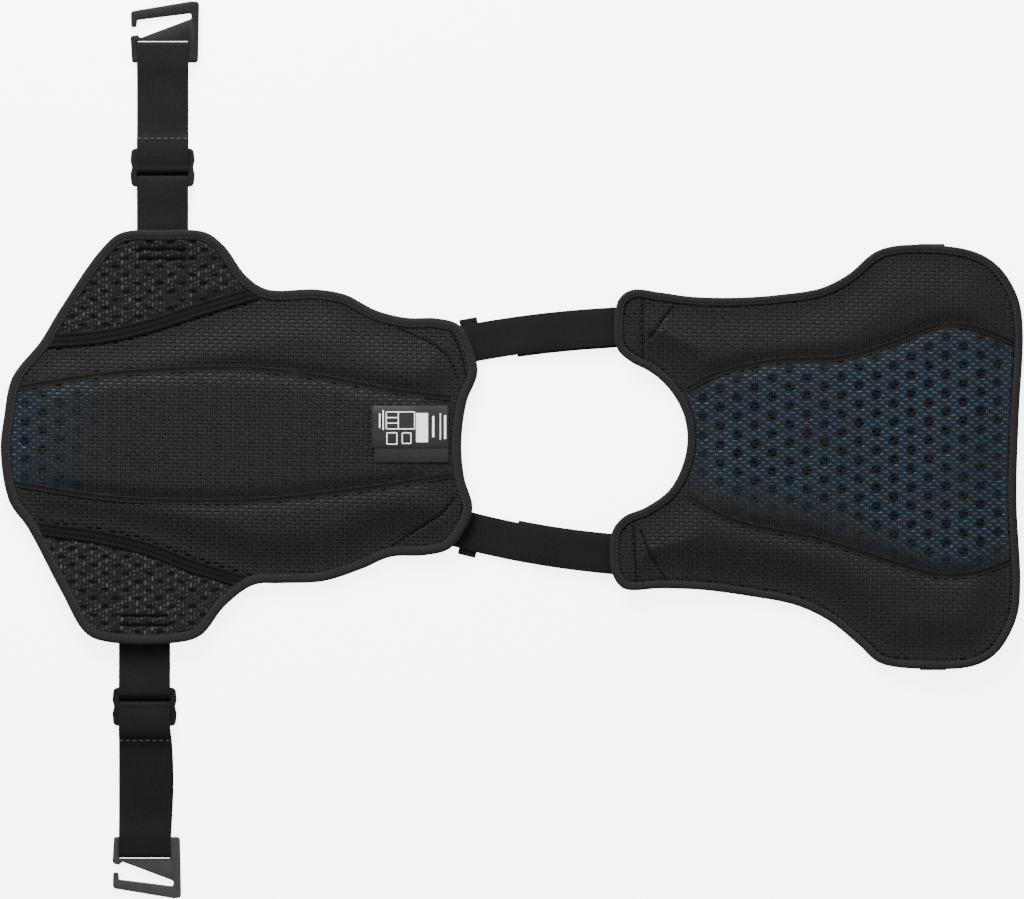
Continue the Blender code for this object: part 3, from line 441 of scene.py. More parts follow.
# %% Outlines of the chest panel
CHEST_OUTLINE = [
    (0.050, 0.789), (0.017, 0.745), (0.007, 0.620), (0.013, 0.510), (0.045, 0.450), (0.095, 0.399),
    (0.140, 0.320), (0.173, 0.210), (0.184, 0.087), (0.172, -0.040), (0.140, -0.155), (0.083, -0.236),
    (0.030, -0.280), (0.002, -0.345), (-0.004, -0.450), (0.003, -0.560), (0.030, -0.622),
    (0.119, -0.620), (0.217, -0.627), (0.338, -0.658), (0.448, -0.700), (0.530, -0.775),
    (0.600, -0.885), (0.652, -0.972), (0.776, -1.000), (0.880, -0.985), (0.938, -0.920),
    (0.985, -0.755), (0.994, -0.600), (0.985, -0.200), (0.990, 0.172), (1.000, 0.600),
    (0.988, 0.750), (0.945, 0.890), (0.881, 0.969), (0.732, 1.002), (0.645, 0.972), (0.575, 0.862),
    (0.510, 0.798), (0.411, 0.767), (0.302, 0.752), (0.192, 0.757), (0.119, 0.776)]
CHEST_SEAMS = {
    "long_up": [(0.186, 0.320), (0.234, 0.375), (0.382, 0.450), (0.567, 0.470), (0.674, 0.530),
                (0.798, 0.620), (0.870, 0.615), (0.965, 0.550), (0.985, 0.530)],
    "long_down": [(0.186, -0.185), (0.255, -0.267), (0.336, -0.323), (0.497, -0.385), (0.684, -0.498),
                  (0.800, -0.559), (0.890, -0.545), (0.965, -0.495), (0.985, -0.480)],
    "tab_up": [(0.074, 0.735), (0.074, 0.480)],
    "tab_down": [(0.052, -0.325), (0.060, -0.580)],
}
CHEST_STITCHED = [[(0.147, 0.710), (0.093, 0.564)], [(0.071, -0.347), (0.096, -0.469), (0.132, -0.573)]]
print("points in the chest's outline:", len(CHEST_OUTLINE))

# %% [markdown]
# ### Curves and distances
#
# Four helpers turn the tables into shapes: a smooth curve through points, equal steps along it,
# the distance from many points to a line at once, and a test for what lies inside a loop. They use
# numpy, because a knitted lining has tens of thousands of points.

# %% Curve helpers
def smooth_line(rows, closed, pieces=10):
    """A fine centripetal curve through rows of points in the plane or in space."""
    points = np.array(rows, float)
    if closed:
        ends = np.vstack([points[-1:], points, points[:2]])
    else:
        ends = np.vstack([2 * points[:1] - points[1:2], points, 2 * points[-1:] - points[-2:-1]])
    fine = []
    for index in range(1, len(ends) - 2):
        four = ends[index - 1:index + 3]
        legs = np.maximum(np.linalg.norm(np.diff(four, axis=0), axis=1), 1e-6) ** 0.5
        knots = np.concatenate([[0.0], np.cumsum(legs)])
        for piece in range(pieces):
            now = knots[1] + (knots[2] - knots[1]) * piece / pieces

            def blend(first, second, low, high):
                return first * ((high - now) / (high - low)) + second * ((now - low) / (high - low))

            one, two, three = (blend(four[n], four[n + 1], knots[n], knots[n + 1]) for n in range(3))
            fine.append(blend(blend(one, two, knots[0], knots[2]), blend(two, three, knots[1], knots[3]),
                              knots[1], knots[2]))
    if not closed:
        fine.append(points[-1])
    return np.array(fine)


def even_steps(line, step, closed=False):
    """Points at equal steps along a line."""
    whole = np.vstack([line, line[:1]]) if closed else line
    runs = np.concatenate([[0.0], np.cumsum(np.linalg.norm(np.diff(whole, axis=0), axis=1))])
    stops = np.linspace(0.0, runs[-1], max(int(round(runs[-1] / step)), 2) + 1)
    if closed:
        stops = stops[:-1]
    return np.stack([np.interp(stops, runs, whole[:, axis]) for axis in range(whole.shape[1])], axis=1)


def headings(line, closed=False):
    """Unit direction at each point of a line."""
    if closed:
        ahead = np.roll(line, -1, axis=0) - np.roll(line, 1, axis=0)
    else:
        ahead = np.gradient(line, axis=0)
    return ahead / np.maximum(np.linalg.norm(ahead, axis=1, keepdims=True), 1e-9)


def line_distance(spots, line, closed=False):
    """Distance in the plane from each spot to a line."""
    starts = line if closed else line[:-1]
    legs = (np.roll(line, -1, axis=0) - line)[:len(starts)]
    squares = np.maximum((legs ** 2).sum(axis=1), 1e-12)
    nearest = np.empty(len(spots))
    for first in range(0, len(spots), 4000):
        away = spots[first:first + 4000, None, :2] - starts[None]
        share = np.clip((away * legs).sum(axis=2) / squares, 0.0, 1.0)
        gap = away - share[..., None] * legs
        nearest[first:first + 4000] = np.sqrt((gap ** 2).sum(axis=2).min(axis=1))
    return nearest


def inside_loop(spots, loop):
    crossings = np.zeros(len(spots), int)
    for start, end in zip(loop, np.roll(loop, -1, axis=0)):
        between = (start[1] > spots[:, 1]) != (end[1] > spots[:, 1])
        if between.any():
            meets = start[0] + (spots[:, 1] - start[1]) / (end[1] - start[1]) * (end[0] - start[0])
            crossings += between & (spots[:, 0] < meets)
    return crossings % 2 == 1


def ease(share):
    """0 to 1 with a soft start and a soft end."""
    share = np.clip(share, 0.0, 1.0)
    return share * share * (3.0 - 2.0 * share)


def ripple(spots, scale):
    """Smooth noise between about -1 and 1 at each spot; scale is in waves a metre."""
    return np.array([noise.noise(Vector((spot[0] * scale, spot[1] * scale, 0.37))) for spot in spots])


print("curve helpers ready")

# %% [markdown]
# ### The two stiff panels
#
# Each panel lies flat in its middle and curls up towards its edges, as a shaped pad does on a
# table. The foam is thin at its rim and full further in, and the seams press it down. All layers
# take their heights from these few functions, so they stay stacked wherever the panel curls.

# %% Panel heights
KNIT_THICKNESS = 0.0009
FOAM_START, FOAM_RISE, FOAM_LEAST = 0.005, 0.004, 0.0003
GROOVE_WIDTH, GROOVE_DEPTH = 0.0017, 0.0015


class Panel:
    """Outline, curl and layer heights of one panel."""

    def __init__(self, left, axis, length, half_width, middle, left_edge, end_curl, side_curl):
        self.left, self.axis, self.length, self.half_width = left, axis, length, half_width
        self.middle, self.left_edge = middle, left_edge
        self.end_curl, self.side_curl = end_curl, side_curl

    def place(self, rows):
        return np.array([(self.left + along * self.length, self.axis + across * self.half_width)
                         for along, across in rows])

    def curl(self, spots):
        """Height of the outer side above the floor."""
        along = (spots[:, 0] - self.left) / self.length
        room = np.where(along > self.middle, 1 - self.middle, self.middle - self.left_edge)
        across = np.abs(spots[:, 1] - self.axis) / self.half_width
        lifts = []
        for share in (np.abs(along - self.middle) / room, across):
            bent = np.maximum((np.minimum(share, 1.0) - FLAT_SHARE) / (1 - FLAT_SHARE), 0.0) ** 2
            lifts.append(bent + np.maximum(share - 1.0, 0.0) * 2 / (1 - FLAT_SHARE))
        return self.end_curl * lifts[0] + self.side_curl * lifts[1]

    def pressed(self, spots, half_width=SEAM_HALF_WIDTH):
        """1 on a seam and 0 away from it."""
        near = np.min([line_distance(spots, seam) for seam in self.seams.values()], axis=0)
        return np.exp(-(near / half_width) ** 2)

    def sewn(self, spots):
        """1 on a thin groove that a line of stitches pulls into the lining."""
        near = np.min([line_distance(spots, line) for line in self.stitched], axis=0)
        return np.exp(-(near / GROOVE_WIDTH) ** 2)

    def foam_top(self, spots):
        depth = line_distance(spots, self.body, True)
        full = ease((depth - FOAM_INSET) / FOAM_ROUNDING)
        height = (FOAM_EDGE + (FOAM - FOAM_EDGE) * full) * ease((depth - FOAM_START) / FOAM_RISE)
        height *= 1 - SEAM_DEPTH_SHARE * self.pressed(spots) * full
        height -= GROOVE_DEPTH * self.sewn(spots) * ease(full * 6)
        return self.curl(spots) + COVER + GAP + np.maximum(height, FOAM_LEAST)

    def lining_top(self, spots):
        return self.foam_top(spots) + GAP + KNIT_THICKNESS


back = Panel(-TOTAL_LENGTH / 2, BACK_AXIS_Y, BACK_LENGTH, BACK_HALF_WIDTH, 0.5, 0.0, 0.0060, 0.0100)
chest = Panel(TOTAL_LENGTH / 2 - CHEST_LENGTH, CHEST_AXIS_Y, CHEST_LENGTH, CHEST_HALF_WIDTH, 0.6, 0.18,
              0.0045, 0.0100)
print("chest panel starts at x in mm:", round(chest.left * 1000, 1))

# %% Outlines and seams in metres
PIECES = 10
OUTLINE_STEP, BODY_STEP, WING_LOOP_STEP, SEAM_STEP, STITCH_LINE_STEP = 0.0030, 0.0045, 0.0040, 0.004, 0.003
stretches = [BACK_HEM, BACK_WING_UP, BACK_SIDE_UP + BACK_NECK + BACK_SIDE_DOWN, BACK_WING_DOWN]
fine = smooth_line(back.place([row for rows in stretches for row in rows]), True, PIECES)
counts = [len(rows) * PIECES for rows in stretches]
hem_end = counts[0] - PIECES
neck_start = counts[0] + counts[1]
neck_end = neck_start + counts[2] - PIECES
hem_start = sum(counts) - PIECES
hem = np.vstack([fine[hem_start:], fine[:hem_end]])
seam_up = smooth_line(back.place(WING_SEAM_UP), False)
seam_down = smooth_line(back.place(WING_SEAM_DOWN), False)
back.outline = even_steps(fine, OUTLINE_STEP, True)
back.body = even_steps(np.vstack([hem, seam_up[:-1], fine[neck_start:neck_end], seam_down[:0:-1]]),
                       BODY_STEP, True)
wing_loops = {
    "upper": even_steps(np.vstack([fine[hem_end:neck_start], seam_up[:0:-1]]), WING_LOOP_STEP, True),
    "lower": even_steps(np.vstack([fine[neck_end:hem_start], seam_down[:-1]]), WING_LOOP_STEP, True)}
chest.outline = even_steps(smooth_line(chest.place(CHEST_OUTLINE), True), OUTLINE_STEP, True)
chest.body = even_steps(chest.outline, BODY_STEP, True)
for panel, seams, lines in ((back, BACK_SEAMS, BACK_STITCHED), (chest, CHEST_SEAMS, CHEST_STITCHED)):
    panel.seams = {name: even_steps(smooth_line(panel.place(rows), False), SEAM_STEP)
                   for name, rows in seams.items()}
    panel.stitched = [even_steps(smooth_line(panel.place(rows), False), STITCH_LINE_STEP)
                      for rows in lines]
    panel.stitched += [line for name, line in panel.seams.items() if not name.startswith("long")]
panels = {"back": back, "chest": chest}
print("stations round the back and the chest:", len(back.outline), len(chest.outline))

# %% [markdown]
# ## Three ways to make cloth
#
# A layer starts as a flat grid, trimmed to an outline, extruded and then lifted to its heights.
# A band, such as a strap, a tape or a seam, is a section swept along a path: a grid is rolled
# round the path and its long edges are welded. A row of stitches is one small bead, set again and
# again along a line.

# %% Put a finished mesh into the scene
SEAM_RIM, TAPED_RIM, TAPED_WIDTH, RIM_STEP = 0.0005, 0.0016, 0.004, 0.0002


def finish_piece(builder, name, material, node=None, smooth=True, turn_out=True):
    """Makes the bmesh an object that rides on the frame and stands for a solid, if a node is
    given. Its place stays in its mesh."""
    if turn_out:
        bmesh.ops.remove_doubles(builder, verts=builder.verts[:], dist=0.00002)
        bmesh.ops.recalc_face_normals(builder, faces=builder.faces[:])
    mesh = bpy.data.meshes.new(name)
    builder.to_mesh(mesh)
    builder.free()
    mesh.materials.append(material)
    for face in mesh.polygons:
        face.use_smooth = smooth
    made = bpy.data.objects.new(name, mesh)
    bpy.context.scene.collection.objects.link(made)
    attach(made, "root")
    if node:
        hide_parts(node)
    print(f"{name}: {sum(len(face.vertices) - 2 for face in mesh.polygons)} triangles")
    return made


def spots_of(verts):
    return np.array([vert.co[:] for vert in verts])


def paint(builder, **values):
    """Stores numbers at the vertices under their names, for a material to read."""
    layers = [builder.verts.layers.float.new(name) for name in values]
    for vert, *shares in zip(builder.verts, *values.values()):
        for layer, share in zip(layers, shares):
            vert[layer] = share


def loop_area(loop):
    """Area inside a loop."""
    after = np.roll(loop, -1, axis=0)
    return abs((loop[:, 0] * after[:, 1] - after[:, 0] * loop[:, 1]).sum()) / 2


def declare_sheet(loop):
    """Works out the area inside a loop, and does nothing more with it."""
    loop_area(loop)


def trimmed_grid(loop, step, depth):
    """Flat faces inside a loop, kept where their middles lie deeper than depth from its edge."""
    low, high = loop.min(axis=0), loop.max(axis=0)
    columns, rows = (int((high[axis] - low[axis]) / step[axis]) + 1 for axis in (0, 1))
    size = Matrix.Diagonal((columns * step[0] / 2, rows * step[1] / 2, 1.0, 1.0))
    builder = bmesh.new()
    bmesh.ops.create_grid(builder, x_segments=columns, y_segments=rows, size=1.0,
                          matrix=Matrix.Translation((*((low + high) / 2), 0.0)) @ size)
    trim(builder, loop, depth)
    return builder


def trim(builder, loop, depth):
    faces = builder.faces[:]
    middles = np.array([face.calc_center_median()[:2] for face in faces])
    kept = inside_loop(middles, loop) & (line_distance(middles, loop, True) > depth)
    bmesh.ops.delete(builder, geom=[face for face, keep in zip(faces, kept) if not keep],
                     context="FACES")


def even_rim(builder, loop, outline):
    """Slides the stepped rim of flat faces out to an even depth inside a loop: close to it along a
    seam, and clear of the tape's wall along the panel's outline."""
    line = even_steps(loop, RIM_STEP, True)
    rim = [vert for vert in builder.verts if vert.is_boundary]
    for vert in rim:
        spot = np.array(vert.co[:2])
        nearest = line[((line - spot) ** 2).sum(axis=1).argmin()]
        taped = ease(1.5 - line_distance(nearest[None], outline, True)[0] / TAPED_WIDTH)
        depth = SEAM_RIM + (TAPED_RIM - SEAM_RIM) * taped
        vert.co.xy = nearest + (spot - nearest) / np.linalg.norm(spot - nearest) * depth


def thicken(builder, bottom, top):
    """Extrudes the flat faces into a closed layer between two heights, functions of the spots."""
    made = bmesh.ops.extrude_face_region(builder, geom=builder.faces[:], use_keep_orig=True)
    for vert in builder.verts:
        vert.tag = False
    upper = [item for item in made["geom"] if isinstance(item, bmesh.types.BMVert)]
    for vert in upper:
        vert.tag = True
    lower = [vert for vert in builder.verts if not vert.tag]
    for verts, heights in ((lower, bottom), (upper, top)):
        for vert, height in zip(verts, heights(spots_of(verts))):
            vert.co.z = height
    return upper


def sweep(path, across, up, section, closed=False):
    """A section carried along a path. across and up are unit vectors at each station, and section
    holds (across, up) pairs in metres, or such a list for each station. UVs are in metres."""
    section = np.asarray(section, float)
    if section.ndim == 2:
        section = np.broadcast_to(section, (len(path), *section.shape))
    spots = path[:, None] + section[..., :1] * across[:, None] + section[..., 1:] * up[:, None]
    runs = np.concatenate([[0.0], np.cumsum(np.linalg.norm(np.diff(path, axis=0), axis=1))])
    if closed:
        spots = np.concatenate([spots, spots[:1]])
        section = np.concatenate([section, section[:1]])
        runs = np.append(runs, runs[-1] + np.linalg.norm(path[-1] - path[0]))
    spots = np.concatenate([spots, spots[:, :1]], axis=1)
    sides = np.concatenate([section[..., 0], section[:, :1, 0]], axis=1)
    rows, columns = spots.shape[0] - 1, spots.shape[1] - 1
    builder = bmesh.new()
    bmesh.ops.create_grid(builder, x_segments=columns, y_segments=rows, size=1.0)
    uv_layer = builder.loops.layers.uv.new("UVMap")
    for vert in builder.verts:
        row, column = round((vert.co.y + 1) / 2 * rows), round((vert.co.x + 1) / 2 * columns)
        vert.index = row * (columns + 1) + column
    for face in builder.faces:
        for loop in face.loops:
            row, column = divmod(loop.vert.index, columns + 1)
            loop[uv_layer].uv = (runs[row], sides[row, column])
    for vert in builder.verts:
        row, column = divmod(vert.index, columns + 1)
        vert.co = spots[row, column]
    bmesh.ops.remove_doubles(builder, verts=builder.verts[:], dist=0.00001)
    if not closed:
        rims = [edge for edge in builder.edges if edge.is_boundary]
        bmesh.ops.holes_fill(builder, edges=rims, sides=0)
    return builder


def sew(name, rows, material, length, radius):
    """Many small stitches in one piece. rows holds (spots, directions) in space."""
    bead = bmesh.new()
    bmesh.ops.create_uvsphere(bead, u_segments=5, v_segments=4, radius=1.0,
                              matrix=Matrix.Rotation(math.pi / 2, 4, "Y"))
    bead_mesh = bpy.data.meshes.new("bead")
    bead.to_mesh(bead_mesh)
    bead.free()
    size = Matrix.Diagonal((length / 2, radius, radius, 1.0))
    builder = bmesh.new()
    for spots, ways in rows:
        for spot, way in zip(spots, ways):
            turn = Vector(way).to_track_quat("X", "Z").to_matrix().to_4x4()
            setting = Matrix.Translation(spot) @ turn @ size
            bead_mesh.transform(setting)
            builder.from_mesh(bead_mesh)
            bead_mesh.transform(setting.inverted())
    bpy.data.meshes.remove(bead_mesh)
    finish_piece(builder, name, material, turn_out=False)


print("makers ready: layer, band and stitches")

# %% [markdown]
# ## Foam pads
#
# Under the lining of each panel lies a foam pad. Between the two long seams it is blue, which
# shows through the knit, and outside them it is black. A closed layer on a 1.5 mm grid is fine
# enough for its soft rounding and for the round holes that are punched into it.

# %% Make the two foam pads
FOAM_STEP, FOAM_RIM = 0.0015, 0.0070
HOLE_DEPTH = 0.0026


def hollow(spots):
    """1 over a punched hole and 0 beside it: the same holes as in the foam's material."""
    column = np.round(spots[:, 0] / HOLE_COLUMN)
    row = spots[:, 1] / HOLE_ROW + HOLE_SHIFT * column
    away = np.hypot(spots[:, 0] - column * HOLE_COLUMN, (row - np.round(row)) * HOLE_ROW)
    return 1.0 - ease((away / HOLE_RADIUS - 0.8) / 0.4)


def between_seams(panel, spots):
    """1 between the two long seams, 0 outside them."""
    shares = []
    for name, way in (("long_up", 1.0), ("long_down", -1.0)):
        seam = panel.seams[name]
        height = np.interp(spots[:, 0], seam[:, 0], seam[:, 1])
        shares.append(ease(0.5 + way * (height - spots[:, 1]) / 0.003))
    return shares[0] * shares[1]


def back_blue(spots):
    """The back's foam shows bright near the hem and fades towards the neck."""
    fade = 0.10 + 0.90 * ease((-0.305 - spots[:, 0]) / 0.075)
    return np.clip(fade * (0.85 + 0.5 * ripple(spots, 22.0)), 0.0, 1.0)


def chest_blue(spots):
    """The chest's foam fades near the lower seam and towards the neck's lower corner."""
    lower, upper = chest.seams["long_down"], chest.seams["long_up"]
    rise = spots[:, 1] - np.interp(spots[:, 0], lower[:, 0], lower[:, 1])
    fall = np.interp(spots[:, 0], upper[:, 0], upper[:, 1]) - spots[:, 1]
    reach = 0.050 - 0.030 * ease((spots[:, 0] - 0.20) / 0.16)
    fade = (0.06 + 0.94 * ease(rise / reach)) * (0.3 + 0.7 * ease(fall / 0.016))
    return np.clip(fade * (0.92 + 0.35 * ripple(spots, 18.0)), 0.0, 1.0)


def core(panel, spots):
    """How blue the foam is, from 0 outside the long seams."""
    return between_seams(panel, spots) * (back_blue if panel is back else chest_blue)(spots)


def make_foam(panel_name, panel):
    builder = trimmed_grid(panel.body, (FOAM_STEP, FOAM_STEP), FOAM_RIM)

    def bottom(spots):
        return panel.curl(spots) + COVER + GAP

    def punched_top(spots):
        top = panel.foam_top(spots)
        deep = np.minimum(HOLE_DEPTH, 0.6 * (top - bottom(spots)))
        return top - deep * hollow(spots) * core(panel, spots)

    thicken(builder, bottom, punched_top)
    paint(builder, core=core(panel, spots_of(builder.verts)))
    pad = finish_piece(builder, panel_name + "_foam_pad", foam_material, panel_name + "_foam")


for panel_name, panel in panels.items():
    make_foam(panel_name, panel)

# %% [markdown]
# ## Knitted lining
#
# The lining is a knit with long narrow openings in brick order. A picture of holes would look
# flat, so they are real: on a grid of small faces, three out of four are deleted in every second
# row, and the next row of openings is shifted by half a step. Corners move in to round each
# opening, then the whole sheet is extruded and laid on the foam, where it sags over the punched
# holes of the blue field. There the yarn is also painted darker, which is painted shade.

# %% Make the pierced knit
KNIT_COLUMN = 0.00180
KNIT_PLACES = (0.0, 0.00163, 0.00326, 0.00489)
KNIT_ROW = 0.00277
KNIT_OPENING = 0.00152
KNIT_DIP, KNIT_RIM, KNIT_UNEVEN = 0.0008, 0.0030, 0.00012
KNIT_CORNER = 0.00030
KNIT_TURN = math.radians(-1.0)


def make_knit(panel_name, panel):
    low, high = panel.body.min(axis=0), panel.body.max(axis=0)
    columns = 4 * int((high[0] - low[0]) / KNIT_COLUMN / 4 + 2)
    lines = 4 * int((high[1] - low[1]) / KNIT_ROW / 2 + 3)
    builder = bmesh.new()
    bmesh.ops.create_grid(builder, x_segments=columns, y_segments=lines, size=0.5,
                          matrix=Matrix.Diagonal((columns, lines, 1.0, 1.0)))
    open_faces = []
    for face in builder.faces:
        middle = face.calc_center_median()
        column, line = math.floor(middle.x), math.floor(middle.y)
        if line % 2 == 0 and (column + line) % 4 != 3:
            open_faces.append(face)
    bmesh.ops.delete(builder, geom=open_faces, context="FACES")
    for vert in builder.verts:
        column, line = round(vert.co.x), round(vert.co.y)
        row, upper = divmod(line, 2)
        phase = (column + 2 * (row % 2)) % 4
        inwards = KNIT_CORNER if phase in (0, 3) else -KNIT_CORNER * 0.2
        side = KNIT_OPENING - inwards if upper else inwards
        along = (column - phase) * KNIT_COLUMN + KNIT_PLACES[phase]
        vert.co = (along, row * KNIT_ROW + side, 0.0)
    middle = (low + high) / 2
    builder.transform(Matrix.Translation((*middle, 0.0)) @ Matrix.Rotation(KNIT_TURN, 4, "Z"))
    trim(builder, panel.body, KNIT_RIM)

    def over_holes(spots):
        return hollow(spots) * core(panel, spots)

    def sag(spots):
        return KNIT_UNEVEN * ripple(spots, 60.0) - KNIT_DIP * over_holes(spots)

    thicken(builder, lambda spots: panel.foam_top(spots) + GAP * 0.5 + sag(spots),
            lambda spots: panel.lining_top(spots) + sag(spots))
    # this mask also places the painted shade of the yarn over the holes
    paint(builder, hollow=over_holes(spots_of(builder.verts)))
    sheet = finish_piece(builder, panel_name + "_knit_lining", yarn,
                         panel_name + "_lining", smooth=False)
    declare_sheet(panel.body)


for panel_name, panel in panels.items():
    make_knit(panel_name, panel)
    print("cut area in square metres:", round(loop_area(panel.body), 4))

# %% [markdown]
# ## Outer covers
#
# The side that faces away from the body is a tough plain weave. Seen from below, the seams of the
# quilting pull thin grooves into it.

# %% Make the outer covers
COVER_STEP, COVER_RIM = 0.0030, 0.0034
QUILT_DIP, QUILT_WIDTH = 0.0011, 0.0028


def make_cover(panel_name, panel):
    builder = trimmed_grid(panel.body, (COVER_STEP, COVER_STEP), COVER_RIM)
    even_rim(builder, panel.body, panel.outline)
    thicken(builder, lambda spots: panel.curl(spots) + QUILT_DIP * panel.pressed(spots, QUILT_WIDTH),
            lambda spots: panel.curl(spots) + COVER)
    cover = finish_piece(builder, panel_name + "_outer_cover", outer_cloth,
                         panel_name + "_cover")
    declare_sheet(panel.body)


for panel_name, panel in panels.items():
    make_cover(panel_name, panel)

# %% [markdown]
# ## Side wings of spacer mesh
#
# The wings are a coarse three-dimensional mesh: upright ribs of grey yarn with rows of small
# hollows between them. The grid is fine enough to carry the ribs as real relief, and the same
# numbers are stored as attributes for the material, which paints the hollows nearly black as
# painted shade.

# %% Make the wings
RIB_PITCH = 0.0029
WING_STEP, WING_RIM = (0.00072, 0.0010), 0.0020
PIT_PITCH, PIT_HALF = (0.0167, 0.0063), (0.0034, 0.0016)
LOFT, RIB_HEIGHT, PIT_DEPTH = 0.0009, 0.0004, 0.0011
WING_HEM, WING_EASE = 0.006, 0.003
DASH_PITCH, DOT_PITCH = PIT_PITCH[1], PIT_PITCH[1] / 2


def spacer_pattern(spots):
    """Share of rib and share of hollow at each spot."""
    column = spots[:, 0] / RIB_PITCH + 0.22 * ripple(spots, 150.0)
    rib = np.abs(np.cos(math.pi * column)) ** 4
    number = np.round(column)
    dotted = number % 2
    step = spots[:, 1] / np.where(dotted, DOT_PITCH, DASH_PITCH) + number * 0.27
    step += 0.15 * ripple(spots, 260.0)
    dash = ease(np.where(dotted, -0.05, 0.45) + 1.0 * np.cos(2 * math.pi * step))
    uneven = np.column_stack([number * 0.731, np.round(step) * 0.617])
    dash *= np.clip(0.60 + 1.0 * ripple(uneven, 1.0), 0.15, 1.0)
    row = np.round(spots[:, 1] / PIT_PITCH[1])
    beside = spots[:, 0] / PIT_PITCH[0] + 0.5 * (row % 2)
    away = np.hypot((beside - np.round(beside)) * PIT_PITCH[0] / PIT_HALF[0],
                    (spots[:, 1] - row * PIT_PITCH[1]) / PIT_HALF[1])
    return rib * dash, ease(1.4 - away + 0.35 * ripple(spots, 320.0))


BARTACK_RUNS = (-0.0133, -0.0205)
BARTACK_HALF, BARTACK_WIDTH, BARTACK_STITCHES = 0.0175, 0.0024, 44
BARTACK_LINES = {side: (back.left + along, [back.axis + out * (back.half_width * 1.008 + run)
                                            for run in BARTACK_RUNS])
                 for side, along, out in (("upper", 0.1234, 1), ("lower", 0.1097, -1))}


def make_wing(side, panel):
    loop = wing_loops[side]
    builder = trimmed_grid(loop, WING_STEP, WING_RIM)
    even_rim(builder, loop, panel.outline)
    tack_x, tack_lines = BARTACK_LINES[side]

    def top(spots):
        rib, pit = spacer_pattern(spots)
        depth = line_distance(spots, loop, True)
        free = ease((depth - WING_HEM) / WING_EASE)
        near = np.min([np.abs(spots[:, 1] - line) for line in tack_lines], axis=0)
        beside = ease((BARTACK_HALF + 0.002 - np.abs(spots[:, 0] - tack_x)) / WING_EASE)
        free = free * (1 - 0.95 * beside * np.exp(-(near / BARTACK_WIDTH) ** 2))
        return panel.curl(spots) + WING - 0.0002 + free * (LOFT + RIB_HEIGHT * rib - PIT_DEPTH * pit)

    thicken(builder, panel.curl, top)
    rib, pit = spacer_pattern(spots_of(builder.verts))
    # the pit share also tells the material where to paint shade in the hollows
    paint(builder, rib=rib, pit=pit)
    wing = finish_piece(builder, "wing_mesh_" + side, spacer_material, "wing_" + side)
    declare_sheet(loop)


for side in wing_loops:
    make_wing(side, back)

# %% [markdown]
# ## Edge tape
#
# A soft stretch tape wraps the edge of each panel. Its section is a C, and it is swept round the
# outline with small puckers, because a tape that is stretched as it is sewn gathers a little.

# %% Make the edge tapes
def inwards_of(loop):
    """Unit vectors from a loop's points into the loop."""
    ways = headings(loop, True)
    after = np.roll(loop, -1, axis=0)
    turning = np.sign((loop[:, 0] * after[:, 1] - after[:, 0] * loop[:, 1]).sum())
    return np.stack([-ways[:, 1], ways[:, 0]], axis=1) * turning


TAPE_SECTION = [(0.0076, -0.0012), (0.0040, -0.0014), (0.0010, -0.0013), (0.0002, -0.0006),
                (0.0000, 0.0012), (0.0000, 0.0034), (0.0003, 0.0047), (0.0012, 0.0056), (0.0030, 0.0060),
                (0.0046, 0.0059), (0.0058, 0.0055), (0.0063, 0.0052), (0.0068, 0.0053), (0.0076, 0.0049),
                (0.0076, 0.0045), (0.0058, 0.0047), (0.0016, 0.0048), (0.0010, 0.0040), (0.0010, 0.0002),
                (0.0016, -0.0004), (0.0076, -0.0005)]


TAPE_SHARE = {"back": 1.0, "chest": 0.84}
PUCKERS = ((0.00022, 170.0), (0.00012, 420.0))


def level(vectors):
    """Vectors in the plane, with a height of 0."""
    return np.column_stack([vectors, np.zeros(len(vectors))])


def make_edge_tape(panel_name, panel):
    loop = panel.outline
    panel.into, panel.rim = inwards_of(loop), panel.curl(loop)
    panel.fall = (panel.curl(loop + panel.into * TAPE_DEPTH) - panel.rim) / TAPE_DEPTH
    section = np.array([TAPE_SECTION] * len(loop))
    section[..., 0] *= TAPE_SHARE[panel_name]
    section[..., 1] += panel.fall[:, None] * section[..., 0]
    pucker = sum(height * ripple(loop, waves) for height, waves in PUCKERS)
    section[:, 7:12, 1] += pucker[:, None]
    up = np.tile((0.0, 0.0, 1.0), (len(loop), 1))
    band = sweep(np.column_stack([loop, panel.rim]), level(panel.into), up, section, True)
    finish_piece(band, panel_name + "_edge_tape", tape_cloth, panel_name + "_binding")


for panel_name, panel in panels.items():
    make_edge_tape(panel_name, panel)

# %% [markdown]
# ## Seams
#
# Each long seam is a flat band of overlocked thread that sinks into the foam. A low band with two
# ridges is swept along the seam, and a row of slanted stitches lies on each ridge.

# %% Make the long seams
SEAM_WIDTH, SEAM_HEIGHT = 0.0058, 0.0009
RIDGE_LIFT, RIDGE_ASIDE = 0.00042, 0.00175
OVERLOCK_PITCH, OVERLOCK_TURN = 0.0019, 0.9
TAPE_CLEARANCE, QUILT_CLEARANCE = 0.0055, 0.0085
BAND_SECTION = [(-0.5, -0.5), (0.5, -0.5), (0.5, 0.1), (0.36, 0.38), (0.26, 0.42), (0.12, 0.15),
                (0.0, 0.05), (-0.12, 0.15), (-0.26, 0.42), (-0.36, 0.38), (-0.5, 0.1)]


def clear_of_edge(panel, line, edge):
    """The part of a line that lies on a panel, farther in than an edge."""
    return line[(line_distance(line, panel.outline, True) > edge) & inside_loop(line, panel.outline)]


def on_panel(panel, line, lift):
    """The part of a line that is clear of the edge tape, laid on the lining."""
    line = clear_of_edge(panel, line, TAPE_CLEARANCE)
    return np.column_stack([line, panel.lining_top(line) + lift])


def level_frame(path):
    """Along, across and up vectors of a band that lies flat."""
    ways = headings(path)
    across = level(np.column_stack([-ways[:, 1], ways[:, 0]]))
    across /= np.linalg.norm(across, axis=1, keepdims=True)
    return ways, across, np.cross(ways, across)


